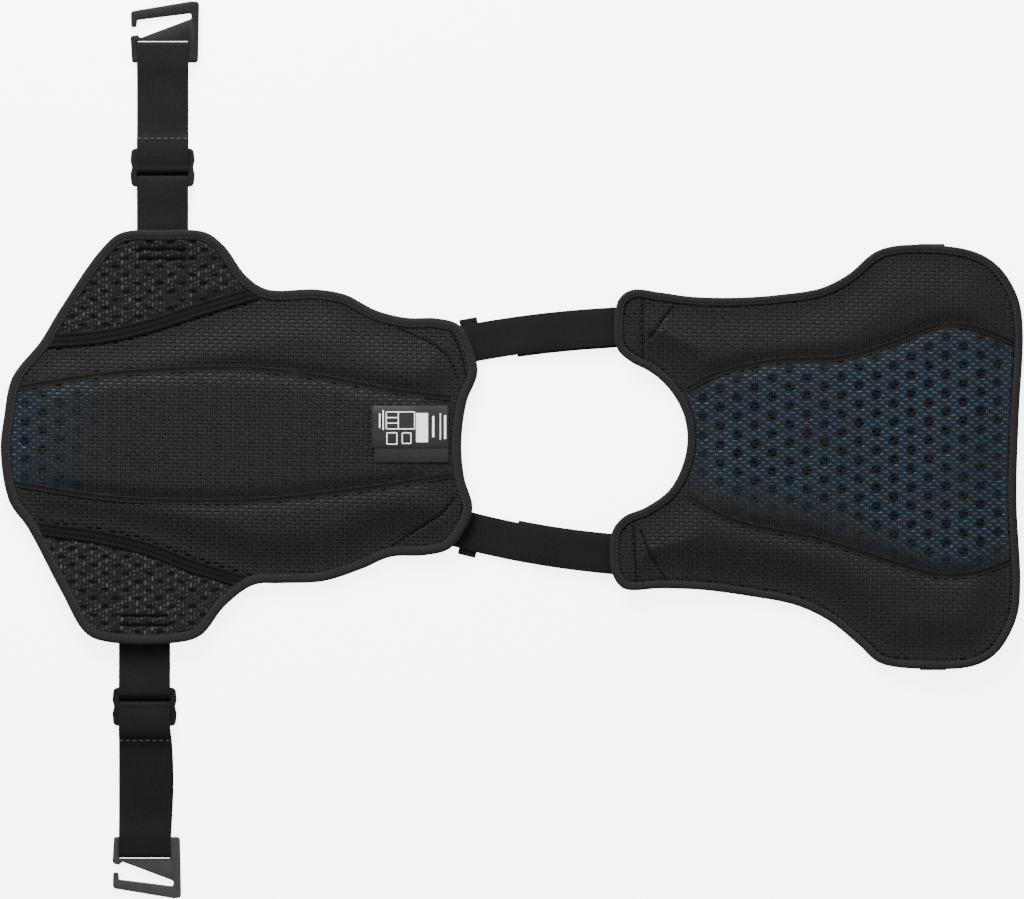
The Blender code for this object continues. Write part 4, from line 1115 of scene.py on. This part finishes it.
def stitches_along(path, pitch, aside=0.0, turned=0.0):
    """Stitch places at equal steps beside a path, each turned from its direction."""
    steps = even_steps(path, pitch)
    ways, across, up = level_frame(steps)
    return steps + across * aside, ways * math.cos(turned) + across * math.sin(turned)


def make_seam(name, panel, line):
    path = on_panel(panel, even_steps(line, 0.0025), 0.0)
    ways, across, up = level_frame(path)
    section = np.array(BAND_SECTION) * (SEAM_WIDTH, SEAM_HEIGHT)
    finish_piece(sweep(path, across, up, section), name + "_band", seam_cloth)
    rows = [stitches_along(path + up * RIDGE_LIFT, OVERLOCK_PITCH, way * RIDGE_ASIDE, way * OVERLOCK_TURN)
            for way in (1, -1)]
    sew(name + "_stitches", rows, seam_thread, length=0.0014, radius=0.00030)


for panel_name, panel in panels.items():
    for seam_name in ("long_up", "long_down"):
        make_seam(f"{panel_name}_{seam_name}", panel, panel.seams[seam_name])

# %% [markdown]
# ## Stitch lines
#
# Single rows of stitches hold the edge tape down, fix the shoulder straps and quilt the outer
# side. A stitch is a bead about 2 mm long, half sunk in the cloth.

# %% Sew the edge tapes and the shoulder lines
def tape_stitches(panel, depth, lift):
    path = np.column_stack([panel.outline + panel.into * depth, panel.rim + panel.fall * depth + lift])
    return stitches_along(np.vstack([path, path[:1]]), 0.0028)


for panel_name, panel in panels.items():
    depth = 0.0060 * TAPE_SHARE[panel_name]
    rows = [tape_stitches(panel, depth, lift) for lift in (0.0055, -0.00135)]
    sew(panel_name + "_tape_stitches", rows, tape_thread, length=0.0017, radius=0.00028)
for panel_name, panel in panels.items():
    rows = [stitches_along(on_panel(panel, even_steps(line, 0.002), 0.0003), 0.0031)
            for line in panel.stitched]
    sew(panel_name + "_shoulder_stitches", rows, thread_cloth, length=0.0028,
        radius=0.00062)

# %% Quilting stitches on the outer side
for panel_name, panel in panels.items():
    rows = []
    for seam in panel.seams.values():
        line = clear_of_edge(panel, seam, QUILT_CLEARANCE)
        path = np.column_stack([line, panel.curl(line) + 0.00095])
        rows += [stitches_along(path, 0.0032, aside) for aside in (0.0009, -0.0009)]
    sew(panel_name + "_outer_stitches", rows, tape_thread, length=0.0023, radius=0.00022)

# %% [markdown]
# ## Rope-edged tape over the wing seams
#
# Where a wing meets the body a broad tape covers the seam. Its two edges are twisted cords, so
# their height swings along the tape while its middle stays flat.

# %% Make the wing seam tapes
ROPE_TWIST = 0.0030
WING_TAPE_END, WING_TAPE_STEP = 0.0034, 0.0008


def make_wing_tape(side, line):
    line = even_steps(line, WING_TAPE_STEP)
    depth = line_distance(line, back.outline, True)
    line, depth = line[depth > WING_TAPE_END], depth[depth > WING_TAPE_END]
    free = ease((depth - WING_TAPE_END) / 0.006)
    path = np.column_stack([line, back.curl(line) + 0.0034 + 0.0012 * free])
    ways, across, up = level_frame(path)
    runs = np.arange(len(path)) * WING_TAPE_STEP
    shape = np.array([(-0.0050, -0.0010), (0.0050, -0.0010), (0.0052, 0.0002), (0.0046, 0.0010),
                      (0.0036, 0.0011), (0.0028, 0.0004), (0.0014, 0.0003), (0.0007, 0.0008),
                      (-0.0007, 0.0008), (-0.0014, 0.0003), (-0.0028, 0.0004), (-0.0036, 0.0011),
                      (-0.0046, 0.0010), (-0.0052, 0.0002)])
    section = np.array([shape] * len(path))
    for corner, phase in ((3, 0.0), (4, 1.6), (7, 0.8), (8, 2.2), (11, 3.1), (12, 4.7)):
        section[:, corner, 1] += 0.00058 * free * np.sin(2 * math.pi * runs / ROPE_TWIST + phase)
    band = sweep(path, across, up, section)
    finish_piece(band, "wing_seam_tape_" + side, rope_cloth, "wing_tape_" + side)


make_wing_tape("upper", seam_up)
make_wing_tape("lower", seam_down)

# %% [markdown]
# ## Elastic straps
#
# Each side strap is one ribbon: out from under the wing, through the slider, round the bar of the
# hook, back under and round the slider's middle bar. The rows below give its run from the wing's
# edge and its height above the floor. A smooth curve through them is the path of the ribbon.

# %% Sizes of the straps and fittings
STRAP_WIDTH, STRAP_THICKNESS, STRAP_TUCK = 0.0392, 0.0014, 0.021
SLIDER_LENGTH, SLIDER_WIDTH, SLIDER_BAR, SLIDER_THICKNESS = 0.0292, 0.0490, 0.0040, 0.0030
SLOT_CLEARANCE, SNUG_CLEARANCE = 0.0012, -0.0003
HOOK_BASE_BAR, HOOK_BASE_SLOT, HOOK_LEFT_LEG, HOOK_RIGHT_LEG = 0.0065, 0.0105, 0.0036, 0.0062
HOOK_LENGTH, HOOK_THICKNESS, HOOK_SLOPE, HOOK_LIFT = 0.0470, 0.0032, 0.044, 0.0002
TAPE_WALL = 0.0010
side_straps = {
    "upper": {"along": 0.1234, "outward": 1, "slider": 0.0335, "hook": 0.1278, "drift": 0.0},
    "lower": {"along": 0.1097, "outward": -1, "slider": 0.0345, "hook": 0.1480, "drift": 0.0024}}
for strap in side_straps.values():
    strap["edge"] = (back.left + strap["along"],
                     back.axis + strap["outward"] * back.half_width * 1.008)
print("side straps:", len(side_straps))


# %% The path of a side strap
def turn_rows(run, height, radius, start, end, steps=8):
    """Rows round a bar, from one angle to another in degrees."""
    angles = np.radians(np.linspace(start, end, steps + 1))
    return [(run + radius * math.cos(angle), height + radius * math.sin(angle)) for angle in angles]


def side_strap_rows(strap):
    half = STRAP_THICKNESS / 2
    clear = half + GAP
    pitch = STRAP_THICKNESS + GAP
    floor_layer = half + GAP * 0.75
    bar_low = floor_layer + pitch + clear
    bar_high = bar_low + SLIDER_THICKNESS
    over_bar = bar_high + clear
    start, hook, drift = strap["slider"], strap["hook"], strap["drift"]
    slot = (SLIDER_LENGTH - 3 * SLIDER_BAR) / 2
    first_bar = start + SLIDER_BAR
    middle_bar = first_bar + slot
    middle_end = middle_bar + SLIDER_BAR
    last_bar = middle_end + slot
    last_end = last_bar + SLIDER_BAR
    hang = TAPE_WALL + 2 * GAP + half

    def below_wing(run):
        x, y = strap["edge"]
        return back.curl(np.array([(x, y + strap["outward"] * run)]))[0]

    rows = [(-STRAP_TUCK, below_wing(-STRAP_TUCK) - clear),
            (-TAPE_DEPTH - 0.002, below_wing(-TAPE_DEPTH - 0.002) - hang),
            (0.0, below_wing(0.0) - hang - 0.0012),
            (start * 0.45, over_bar - 0.0022),
            (start - 0.004, over_bar - 0.0004),
            (start + SLIDER_BAR * 0.5, over_bar),
            (first_bar + 0.0012, over_bar - 0.0002),
            (first_bar + 0.0026, over_bar - 0.0014),
            (first_bar + 0.0034, (bar_low + bar_high) / 2),
            (first_bar + 0.0042, floor_layer + 0.0012),
            (first_bar + 0.0062, floor_layer),
            (last_end + 0.002, floor_layer),
            (last_end + 0.012, floor_layer, drift * 0.5),
            (last_end + 0.5 * (hook - last_end), floor_layer, drift),
            (hook - 0.006, floor_layer, drift * 0.4)]
    hook_low = floor_layer + clear + HOOK_LIFT
    turn_high = hook_low + HOOK_THICKNESS + clear
    radius = (turn_high - floor_layer) / 2
    turn_run = hook + HOOK_BASE_BAR + HOOK_BASE_SLOT - 0.0010 - half - radius
    rows += turn_rows(turn_run, floor_layer + radius, radius, -90, 90)
    rows += [(hook - 0.002, turn_high - 0.0001),
             (hook - 0.010, floor_layer + pitch * 1.9),
             (hook - 0.020, floor_layer + pitch + 0.0002),
             (last_end + 0.026, floor_layer + pitch + 0.0002),
             (last_end + 0.017, floor_layer + pitch * 1.35),
             (last_end + 0.011, floor_layer + pitch * 2.15),
             (last_end + 0.0065, over_bar + 0.0004),
             (last_end + 0.0015, over_bar + pitch * 0.98),
             (last_bar + 0.0005, over_bar + pitch),
             (last_bar - 0.0045, over_bar + 0.0012),
             (middle_end - 0.0010, over_bar)]
    rows += turn_rows(middle_bar + 0.0015, (bar_low + bar_high) / 2, SLIDER_THICKNESS / 2 + clear, 90, 270)
    rows += [(middle_end - 0.0010, bar_low - clear),
             (middle_end + 0.0018, bar_low - clear + 0.0003),
             (middle_end + 0.0042, bar_low + 0.0010),
             (last_bar - 0.0026, bar_high - 0.0004),
             (last_bar - 0.0004, over_bar - 0.0001),
             (last_end + 0.0006, over_bar),
             (last_end + 0.0032, over_bar - 0.0010),
             (last_end + 0.0068, floor_layer + pitch * 1.55),
             (last_end + 0.0095, floor_layer + pitch)]
    strap["bar_low"], strap["hook_low"] = bar_low, hook_low
    return rows


def through(rows):
    """A smooth curve through rows of run, height and, where there is one, drift to the side."""
    return smooth_line([(*row, 0.0)[:3] for row in rows], False, 4)


for side, strap in side_straps.items():
    strap["rows"] = side_strap_rows(strap)
    print(f"{side} strap: {len(strap['rows'])} rows")


# %% Make the side straps
def strap_section(width, thickness):
    """A flat section with rounded edges, given as (across, up) pairs."""
    half, up = width / 2, thickness / 2
    inner = half - thickness * 0.45
    top = [(inner, up), (inner * 0.5, up), (0.0, up), (-inner * 0.5, up), (-inner, up)]
    left = [(-half + thickness * 0.1, up * 0.62), (-half, 0.0), (-half + thickness * 0.1, -up * 0.62)]
    return top + left + [(-x, -z) for x, z in top] + [(-x, -z) for x, z in left]


def make_ribbon(name, node, path, across, width, thickness):
    """An elastic ribbon, swept along a path."""
    band = sweep(path, across, np.cross(headings(path), across), strap_section(width, thickness))
    finish_piece(band, name, elastic_cloth, node)
    length = np.linalg.norm(np.diff(path, axis=0), axis=1).sum()
    print("ribbon length in mm:", round(length * 1000))


def straight_across(path):
    """Vectors across a ribbon that runs along y."""
    return np.tile((1.0, 0.0, 0.0), (len(path), 1))


for side, strap in side_straps.items():
    line = through(strap["rows"])
    x, y = strap["edge"]
    path = np.column_stack([x + line[:, 2], y + strap["outward"] * line[:, 0], line[:, 1]])
    make_ribbon("side_elastic_" + side, "side_strap_" + side, path, straight_across(path), STRAP_WIDTH,
                STRAP_THICKNESS)
    strap["path"] = path

# %% [markdown]
# Where the ribbon's end is sewn to itself behind the slider, a row of pale stitches crosses it.

# %% Sew the strap ends
STRAP_SEWN = {"upper": 0.0702, "lower": 0.0748}
SEWN_HALF, SEWN_STITCHES = 0.0175, 8

for side, run in STRAP_SEWN.items():
    strap = side_straps[side]
    x, y = strap["edge"]
    near = np.abs(strap["path"][:, 1] - (y + strap["outward"] * run)) < 0.004
    top = strap["path"][near, 2].max() + STRAP_THICKNESS / 2
    spots = [(stop, y + strap["outward"] * run, top)
             for stop in np.linspace(x - SEWN_HALF, x + SEWN_HALF, SEWN_STITCHES)]
    sew("strap_end_stitches_" + side, [(spots, [(1.0, 0.02, 0.0)] * SEWN_STITCHES)], strap_thread,
        length=0.0034, radius=0.00030)

# %% [markdown]
# ## Shoulder straps
#
# The shoulder straps are the same kind of elastic in a gentle arc. At the chest each one folds
# under and comes back below itself, a little askew, so that its under layer peeps out.

# %% Sizes and path of the shoulder straps
SHOULDER_WIDTH, SHOULDER_THICKNESS = 0.0290, 0.0012
BACK_TUCK, CHEST_TUCK, SHOULDER_RETURN = 0.016, 0.022, 0.092
KEEPER_LENGTH, KEEPER_OVERHANG, KEEPER_WIDTH = 0.0140, 0.0045, 0.0140


def level_under(panel, spot, band):
    """Lowest outer side over a band across a spot."""
    spot = np.array([spot])
    return min(panel.curl(spot + (0.0, reach))[0] for reach in (-band, 0.0, band))


def make_shoulder(side, back_share, chest_share, bow):
    sign = math.copysign(1, back_share)
    start = np.array((back.left + back.length - BACK_TUCK, back.axis + back_share * back.half_width))
    end = np.array((chest.left + CHEST_TUCK, chest.axis + chest_share * chest.half_width))
    span = end[0] - start[0]
    bend = start + (end - start) * 0.45 + (0.0, bow)

    def spine(run):
        share = np.asarray(run)[..., None] / span
        return (start + (bend - start) * share) * (1 - share) + (bend + (end - bend) * share) * share

    half, band = SHOULDER_THICKNESS / 2, SHOULDER_WIDTH / 2
    pitch = SHOULDER_THICKNESS + GAP
    hang = TAPE_WALL + 2 * GAP + half
    tab_run, taped = span - CHEST_TUCK, TAPE_DEPTH + 0.003
    back_low = level_under(back, spine(0.0), band) - GAP - half
    edge_low = level_under(back, spine(BACK_TUCK - taped), band) - hang
    chest_low = min(level_under(chest, spine(tab_run + taped), band) - hang,
                    level_under(chest, spine(span - 0.001), band) - GAP - half)
    drift = -sign * 0.0018
    rows = [(0.0, back_low), (BACK_TUCK - taped, min(back_low, edge_low)), (BACK_TUCK, edge_low)]
    for share in np.linspace(0.0, 1.0, 8)[1:-1]:
        rows.append((BACK_TUCK + (tab_run - BACK_TUCK) * share,
                     edge_low + (chest_low - edge_low) * ease(share)))
    rows += [(tab_run, chest_low), (span - 0.004, chest_low)]
    rows += turn_rows(span - 0.002, chest_low - pitch / 2, pitch / 2, 80, -80, 4)
    rows += [(span - 0.005, chest_low - pitch, drift * 0.3), (tab_run, chest_low - pitch, drift)]
    for share in (0.25, 0.5, 0.75, 1.0):
        run = tab_run + (span - SHOULDER_RETURN - tab_run) * share
        rise = ease((run - BACK_TUCK) / (tab_run - BACK_TUCK))
        rows.append((run, edge_low + (chest_low - edge_low) * rise - pitch * 1.05, drift))

    def stations(runs):
        """Places on the spine and unit vectors across it."""
        here, ahead = spine(runs), spine(runs + 0.001)
        ways = (ahead - here) / np.linalg.norm(ahead - here, axis=1, keepdims=True)
        return here, np.column_stack([-ways[:, 1], ways[:, 0]])

    line = through(rows)
    here, sides = stations(line[:, 0])
    path = np.column_stack([here + sides * line[:, 2:3], line[:, 1]])
    make_ribbon("shoulder_elastic_" + side, "shoulder_strap_" + side, path, level(sides), SHOULDER_WIDTH,
                SHOULDER_THICKNESS)
    # the small square tab that peeps out behind the strap
    keeper_start = BACK_TUCK + 0.003
    here, sides = stations(np.linspace(keeper_start, keeper_start + KEEPER_LENGTH, 6))
    middle = here + sides * sign * (band + KEEPER_OVERHANG - KEEPER_WIDTH / 2)
    path = np.column_stack([middle, np.full(len(middle), edge_low - pitch)])
    make_ribbon("keeper_tab_" + side, "strap_keeper_" + side, path, level(sides), KEEPER_WIDTH,
                SHOULDER_THICKNESS)


make_shoulder("upper", 0.427, 0.622, 0.0072)
make_shoulder("lower", -0.425, -0.474, -0.0088)

# %% [markdown]
# ## Loops under the chest panel
#
# Two short loops of webbing under the chest's side edges take the hooks when it is worn.

# %% Make the chest loops
LOOP_WIDTH, LOOP_LENGTH, LOOP_THICKNESS = 0.0200, 0.0300, 0.0012
LOOP_EYE, LOOP_OVERHANG = 0.0016, 0.0010


def make_loop(side, along, across_share):
    sign = math.copysign(1, across_share)
    edge = chest.place([(along, across_share)])[0]
    half = LOOP_THICKNESS / 2

    def below(run):
        return chest.curl(np.array([(edge[0], edge[1] + sign * run)]))[0]

    sewn_run = -TAPE_DEPTH - 0.004
    edge_height = min(below(sewn_run), below(0.0)) - (TAPE_WALL + 2 * GAP + half)
    turn = (LOOP_EYE + LOOP_THICKNESS) / 2
    sewn = [-LOOP_LENGTH, -LOOP_LENGTH * 0.83, -LOOP_LENGTH * 0.66]
    seated = [min(below(run) - half - GAP * 0.6, edge_height) for run in sewn]
    rows = list(zip(sewn, seated))
    rows += [(sewn_run, edge_height), (LOOP_OVERHANG - half - turn - 0.001, edge_height)]
    rows += turn_rows(LOOP_OVERHANG - half - turn, edge_height - turn, turn, 80, -90, 6)
    rows.append((sewn_run, edge_height - turn * 2))
    pitch = LOOP_THICKNESS + GAP
    rows += [(run, min(height - pitch, edge_height - turn * 2))
             for run, height in list(zip(sewn, seated))[::-1]]
    line = through(rows)
    path = np.column_stack([np.full(len(line), edge[0]), edge[1] + sign * line[:, 0], line[:, 1]])
    make_ribbon("hook_loop_" + side, "chest_loop_" + side, path, straight_across(path), LOOP_WIDTH,
                LOOP_THICKNESS)


make_loop("upper", 0.778, 1.0)
make_loop("lower", 0.782, -1.0)

# %% [markdown]
# ## Sliders and hooks
#
# These are moulded plates. A flat curve with holes, filled, thickened and with a round bevel,
# gives a clean plate with soft edges. It is turned into a mesh before it is moved into place. The
# lower hook is rubbed pale.

# %% A moulded plate from a flat curve
EDGE_ROUNDING = 0.0009


def rounded(rows, steps=6):
    """Corner rows of (x, y, radius), each corner rounded."""
    points = []
    for index, (x, y, radius) in enumerate(rows):
        corner = Vector((x, y))
        before = Vector(rows[index - 1][:2]) - corner
        after = Vector(rows[(index + 1) % len(rows)][:2]) - corner
        room = min(radius / math.tan(before.angle(after) / 2), before.length * 0.48, after.length * 0.48)
        start, end = corner + before.normalized() * room, corner + after.normalized() * room
        for step in range(steps + 1):
            share = step / steps
            points.append(start.lerp(corner, share).lerp(corner.lerp(end, share), share))
    return points


def moulded_plate(name, outer, holes, thickness, place, node, plastic=dark_plastic):
    curve = bpy.data.curves.new(name, "CURVE")
    curve.dimensions = "2D"
    curve.fill_mode = "BOTH"
    curve.extrude = thickness / 2 - EDGE_ROUNDING
    curve.bevel_depth = EDGE_ROUNDING
    curve.bevel_resolution = 3
    curve.offset = -EDGE_ROUNDING
    for loop in [outer, *[hole[::-1] for hole in holes]]:
        spline = curve.splines.new("POLY")
        spline.points.add(len(loop) - 1)
        for point, corner in zip(spline.points, loop):
            point.co = (corner.x, corner.y, 0.0, 1.0)
        spline.use_cyclic_u = True
    holder = bpy.data.objects.new(name + "_curve", curve)
    mesh = bpy.data.meshes.new_from_object(holder)
    builder = bmesh.new()
    builder.from_mesh(mesh)
    bpy.data.objects.remove(holder, do_unlink=True)
    bpy.data.curves.remove(curve)
    bpy.data.meshes.remove(mesh)
    for vert in builder.verts:
        vert.co = place(vert.co)
    made = finish_piece(builder, name, plastic, node)
    made.data.set_sharp_from_angle(angle=math.radians(38))


print("edge rounding in mm:", EDGE_ROUNDING * 1000)

# %% Outlines of the slider and the hook
def slider_rows():
    half_length, half_width = SLIDER_LENGTH / 2, SLIDER_WIDTH / 2
    waist = half_width - 0.0012
    right = [(half_width - 0.0008, -half_length, 0.0040), (half_width, -half_length * 0.35, 0.0030),
             (waist, 0.0, 0.0015), (half_width, half_length * 0.35, 0.0030),
             (half_width - 0.0008, half_length, 0.0040)]
    return right + [(-x, -y, radius) for x, y, radius in right]


def slot_rows(low, high, half_width):
    return [(-half_width, low, 0.0010), (half_width, low, 0.0010), (half_width, high, 0.0010),
            (-half_width, high, 0.0010)]


def hook_rows(slot_half):
    left, right, top = -slot_half - HOOK_LEFT_LEG, slot_half + HOOK_RIGHT_LEG, HOOK_LENGTH
    return [(left + 0.0010, 0.0, 0.0020), (right, 0.0, 0.0030), (right + 0.0008, top * 0.99, 0.0095),
            (right - 0.0050, top, 0.0060), (left, top * 0.835, 0.0030),
            (left + 0.0004, top * 0.575, 0.0018), (left + 0.0046, top * 0.575, 0.0018),
            (left + 0.0050, top * 0.690, 0.0012), (right - 0.0052, top * 0.800, 0.0018),
            (right - 0.0052, top * 0.715, 0.0020), (left + 0.0075, top * 0.405, 0.0015),
            (left + 0.0052, top * 0.455, 0.0012), (left - 0.0002, top * 0.435, 0.0026)]


print("hook corners:", len(hook_rows(0.02)))

# %% Make the sliders and hooks
slot_half = STRAP_WIDTH / 2 + SLOT_CLEARANCE
snug_half = STRAP_WIDTH / 2 + SNUG_CLEARANCE
inner_bar, outer_bar = SLIDER_BAR / 2, SLIDER_LENGTH / 2 - SLIDER_BAR
for side, strap in side_straps.items():
    x, y = strap["edge"]

    def on_slider(spot, strap=strap, x=x, y=y):
        run = strap["slider"] + SLIDER_LENGTH / 2 + spot.y
        return (x + spot.x, y + strap["outward"] * run, strap["bar_low"] + SLIDER_THICKNESS / 2 + spot.z)

    def on_hook(spot, strap=strap, x=x, y=y):
        height = strap["hook_low"] + HOOK_THICKNESS / 2 + spot.z - HOOK_SLOPE * spot.y
        return (x + spot.x, y + strap["outward"] * (strap["hook"] + spot.y), height)

    slots = [rounded(slot_rows(low, high, snug_half)) for low, high in
             ((-outer_bar, -inner_bar), (inner_bar, outer_bar))]
    moulded_plate("slider_plate_" + side, rounded(slider_rows()), slots, SLIDER_THICKNESS, on_slider,
                  "slider_" + side)
    base_slot = rounded(slot_rows(HOOK_BASE_BAR, HOOK_BASE_BAR + HOOK_BASE_SLOT - 0.0006, snug_half))
    moulded_plate("hook_plate_" + side, rounded(hook_rows(slot_half)), [base_slot], HOOK_THICKNESS,
                  on_hook, "hook_" + side, {"upper": dark_plastic, "lower": pale_plastic}[side])

# %% [markdown]
# ## Folded label
#
# A satin label lies at the neck, sewn in under the edge tape. The upper leaf is narrower than the
# lower one. Its print is only a blank white field, plain bars and empty frames.

# %% Make the label
LABEL_THICKNESS, LABEL_LENGTH, LABEL_LIFT = 0.0004, 0.0590, 0.0004
LABEL_LEAVES = {"under": (0.0015, 0.0425, LABEL_LENGTH - 0.002, GAP),
                "top": (0.0075, 0.0320, LABEL_LENGTH, GAP * 2 + LABEL_THICKNESS)}
LABEL_START = back.left + back.length * 0.997 - TAPE_DEPTH - 0.0012


def leaf_path(centre, width, length, lift, steps=24):
    """Runs from the neck to the hem side, on the highest lining below the leaf."""
    runs = np.linspace(0.0, length, steps + 1)
    heights = []
    for reach in (-0.5, -0.25, 0.0, 0.25, 0.5):
        spots = np.column_stack([LABEL_START - runs,
                                 np.full(len(runs), back.axis + centre + reach * width)])
        heights.append(back.lining_top(spots) + LABEL_LIFT)
    level = np.max(heights, axis=0)
    return np.column_stack([LABEL_START - runs, np.full(len(runs), back.axis + centre), level + lift])


for leaf, (centre, width, length, lift) in LABEL_LEAVES.items():
    path = leaf_path(centre, width, length, lift)
    ways, across, up = level_frame(path)
    leaf_mesh = sweep(path, across, up, strap_section(width, LABEL_THICKNESS))
    finish_piece(leaf_mesh, "label_leaf_" + leaf, satin_material, "neck_label_" + leaf)

# %% Make the blank print on the label
PRINT_LINE, PRINT_THICKNESS, PRINT_STATIONS = 0.0007, 0.00008, 12
PRINT_BARS = [(0.0030, 0.0180, 0.0016, -0.0004), (0.0066, 0.0200, 0.0008, 0.0),
              (0.0120, 0.0160, 0.0016, 0.0), (0.0205, 0.0221, 0.0090, -0.0008),
              (0.0385, 0.0129, PRINT_LINE, 0.0047),
              (0.0432, PRINT_LINE, 0.0086, 0.0026), (0.0432, PRINT_LINE, 0.0086, 0.0068),
              (0.0500, 0.0150, 0.0010, 0.0050), (0.0526, 0.0110, 0.0010, 0.0045)]
PRINT_FRAMES = [(0.0369, 0.0129, 0.0215, 0.0047), (0.0434, 0.0086, 0.0076, -0.0090),
                (0.0322, 0.0080, 0.0066, -0.0088)]
for run, tall, wide, aside in PRINT_FRAMES:
    PRINT_BARS += [(run - wide / 2, tall, PRINT_LINE, aside), (run + wide / 2, tall, PRINT_LINE, aside),
                   (run, PRINT_LINE, wide, aside - tall / 2), (run, PRINT_LINE, wide, aside + tall / 2)]
centre, width, length, lift = LABEL_LEAVES["top"]
top_path = leaf_path(centre, width, length, lift)
builder = bmesh.new()
for run, long_side, short_side, aside in PRINT_BARS:
    runs = np.linspace(run - short_side / 2, run + short_side / 2, PRINT_STATIONS)
    heights = np.interp(LABEL_START - runs, top_path[::-1, 0], top_path[::-1, 2])
    path = np.column_stack([LABEL_START - runs, np.full(PRINT_STATIONS, back.axis + centre + aside),
                            heights + LABEL_THICKNESS / 2 + PRINT_THICKNESS])
    ways, across, up = level_frame(path)
    bar = sweep(path, across, up, strap_section(long_side, PRINT_THICKNESS))
    bar_mesh = bpy.data.meshes.new("bar")
    bar.to_mesh(bar_mesh)
    bar.free()
    builder.from_mesh(bar_mesh)
    bpy.data.meshes.remove(bar_mesh)
finish_piece(builder, "label_print", print_material, smooth=False, turn_out=False)

# %% [markdown]
# ## Bartacks
#
# Where the side straps are sewn to the wings, two dense bars of thread go through everything and
# pull the mesh down.

# %% Sew the bartacks on the wings
for side, (x, lines) in BARTACK_LINES.items():
    rows = []
    for line in lines:
        stops = np.linspace(x - BARTACK_HALF, x + BARTACK_HALF, BARTACK_STITCHES)
        spots = np.column_stack([stops, np.full(BARTACK_STITCHES, line)])
        spots[:, 1] += 0.0004 * ripple(spots, 160.0)
        path = np.column_stack([spots, back.curl(spots) + WING + 0.0004])
        rows.append((path, [(0.25, 1.0, 0.0)] * BARTACK_STITCHES))
    sew("bartack_" + side, rows, thread_cloth, length=0.0030, radius=0.00050)
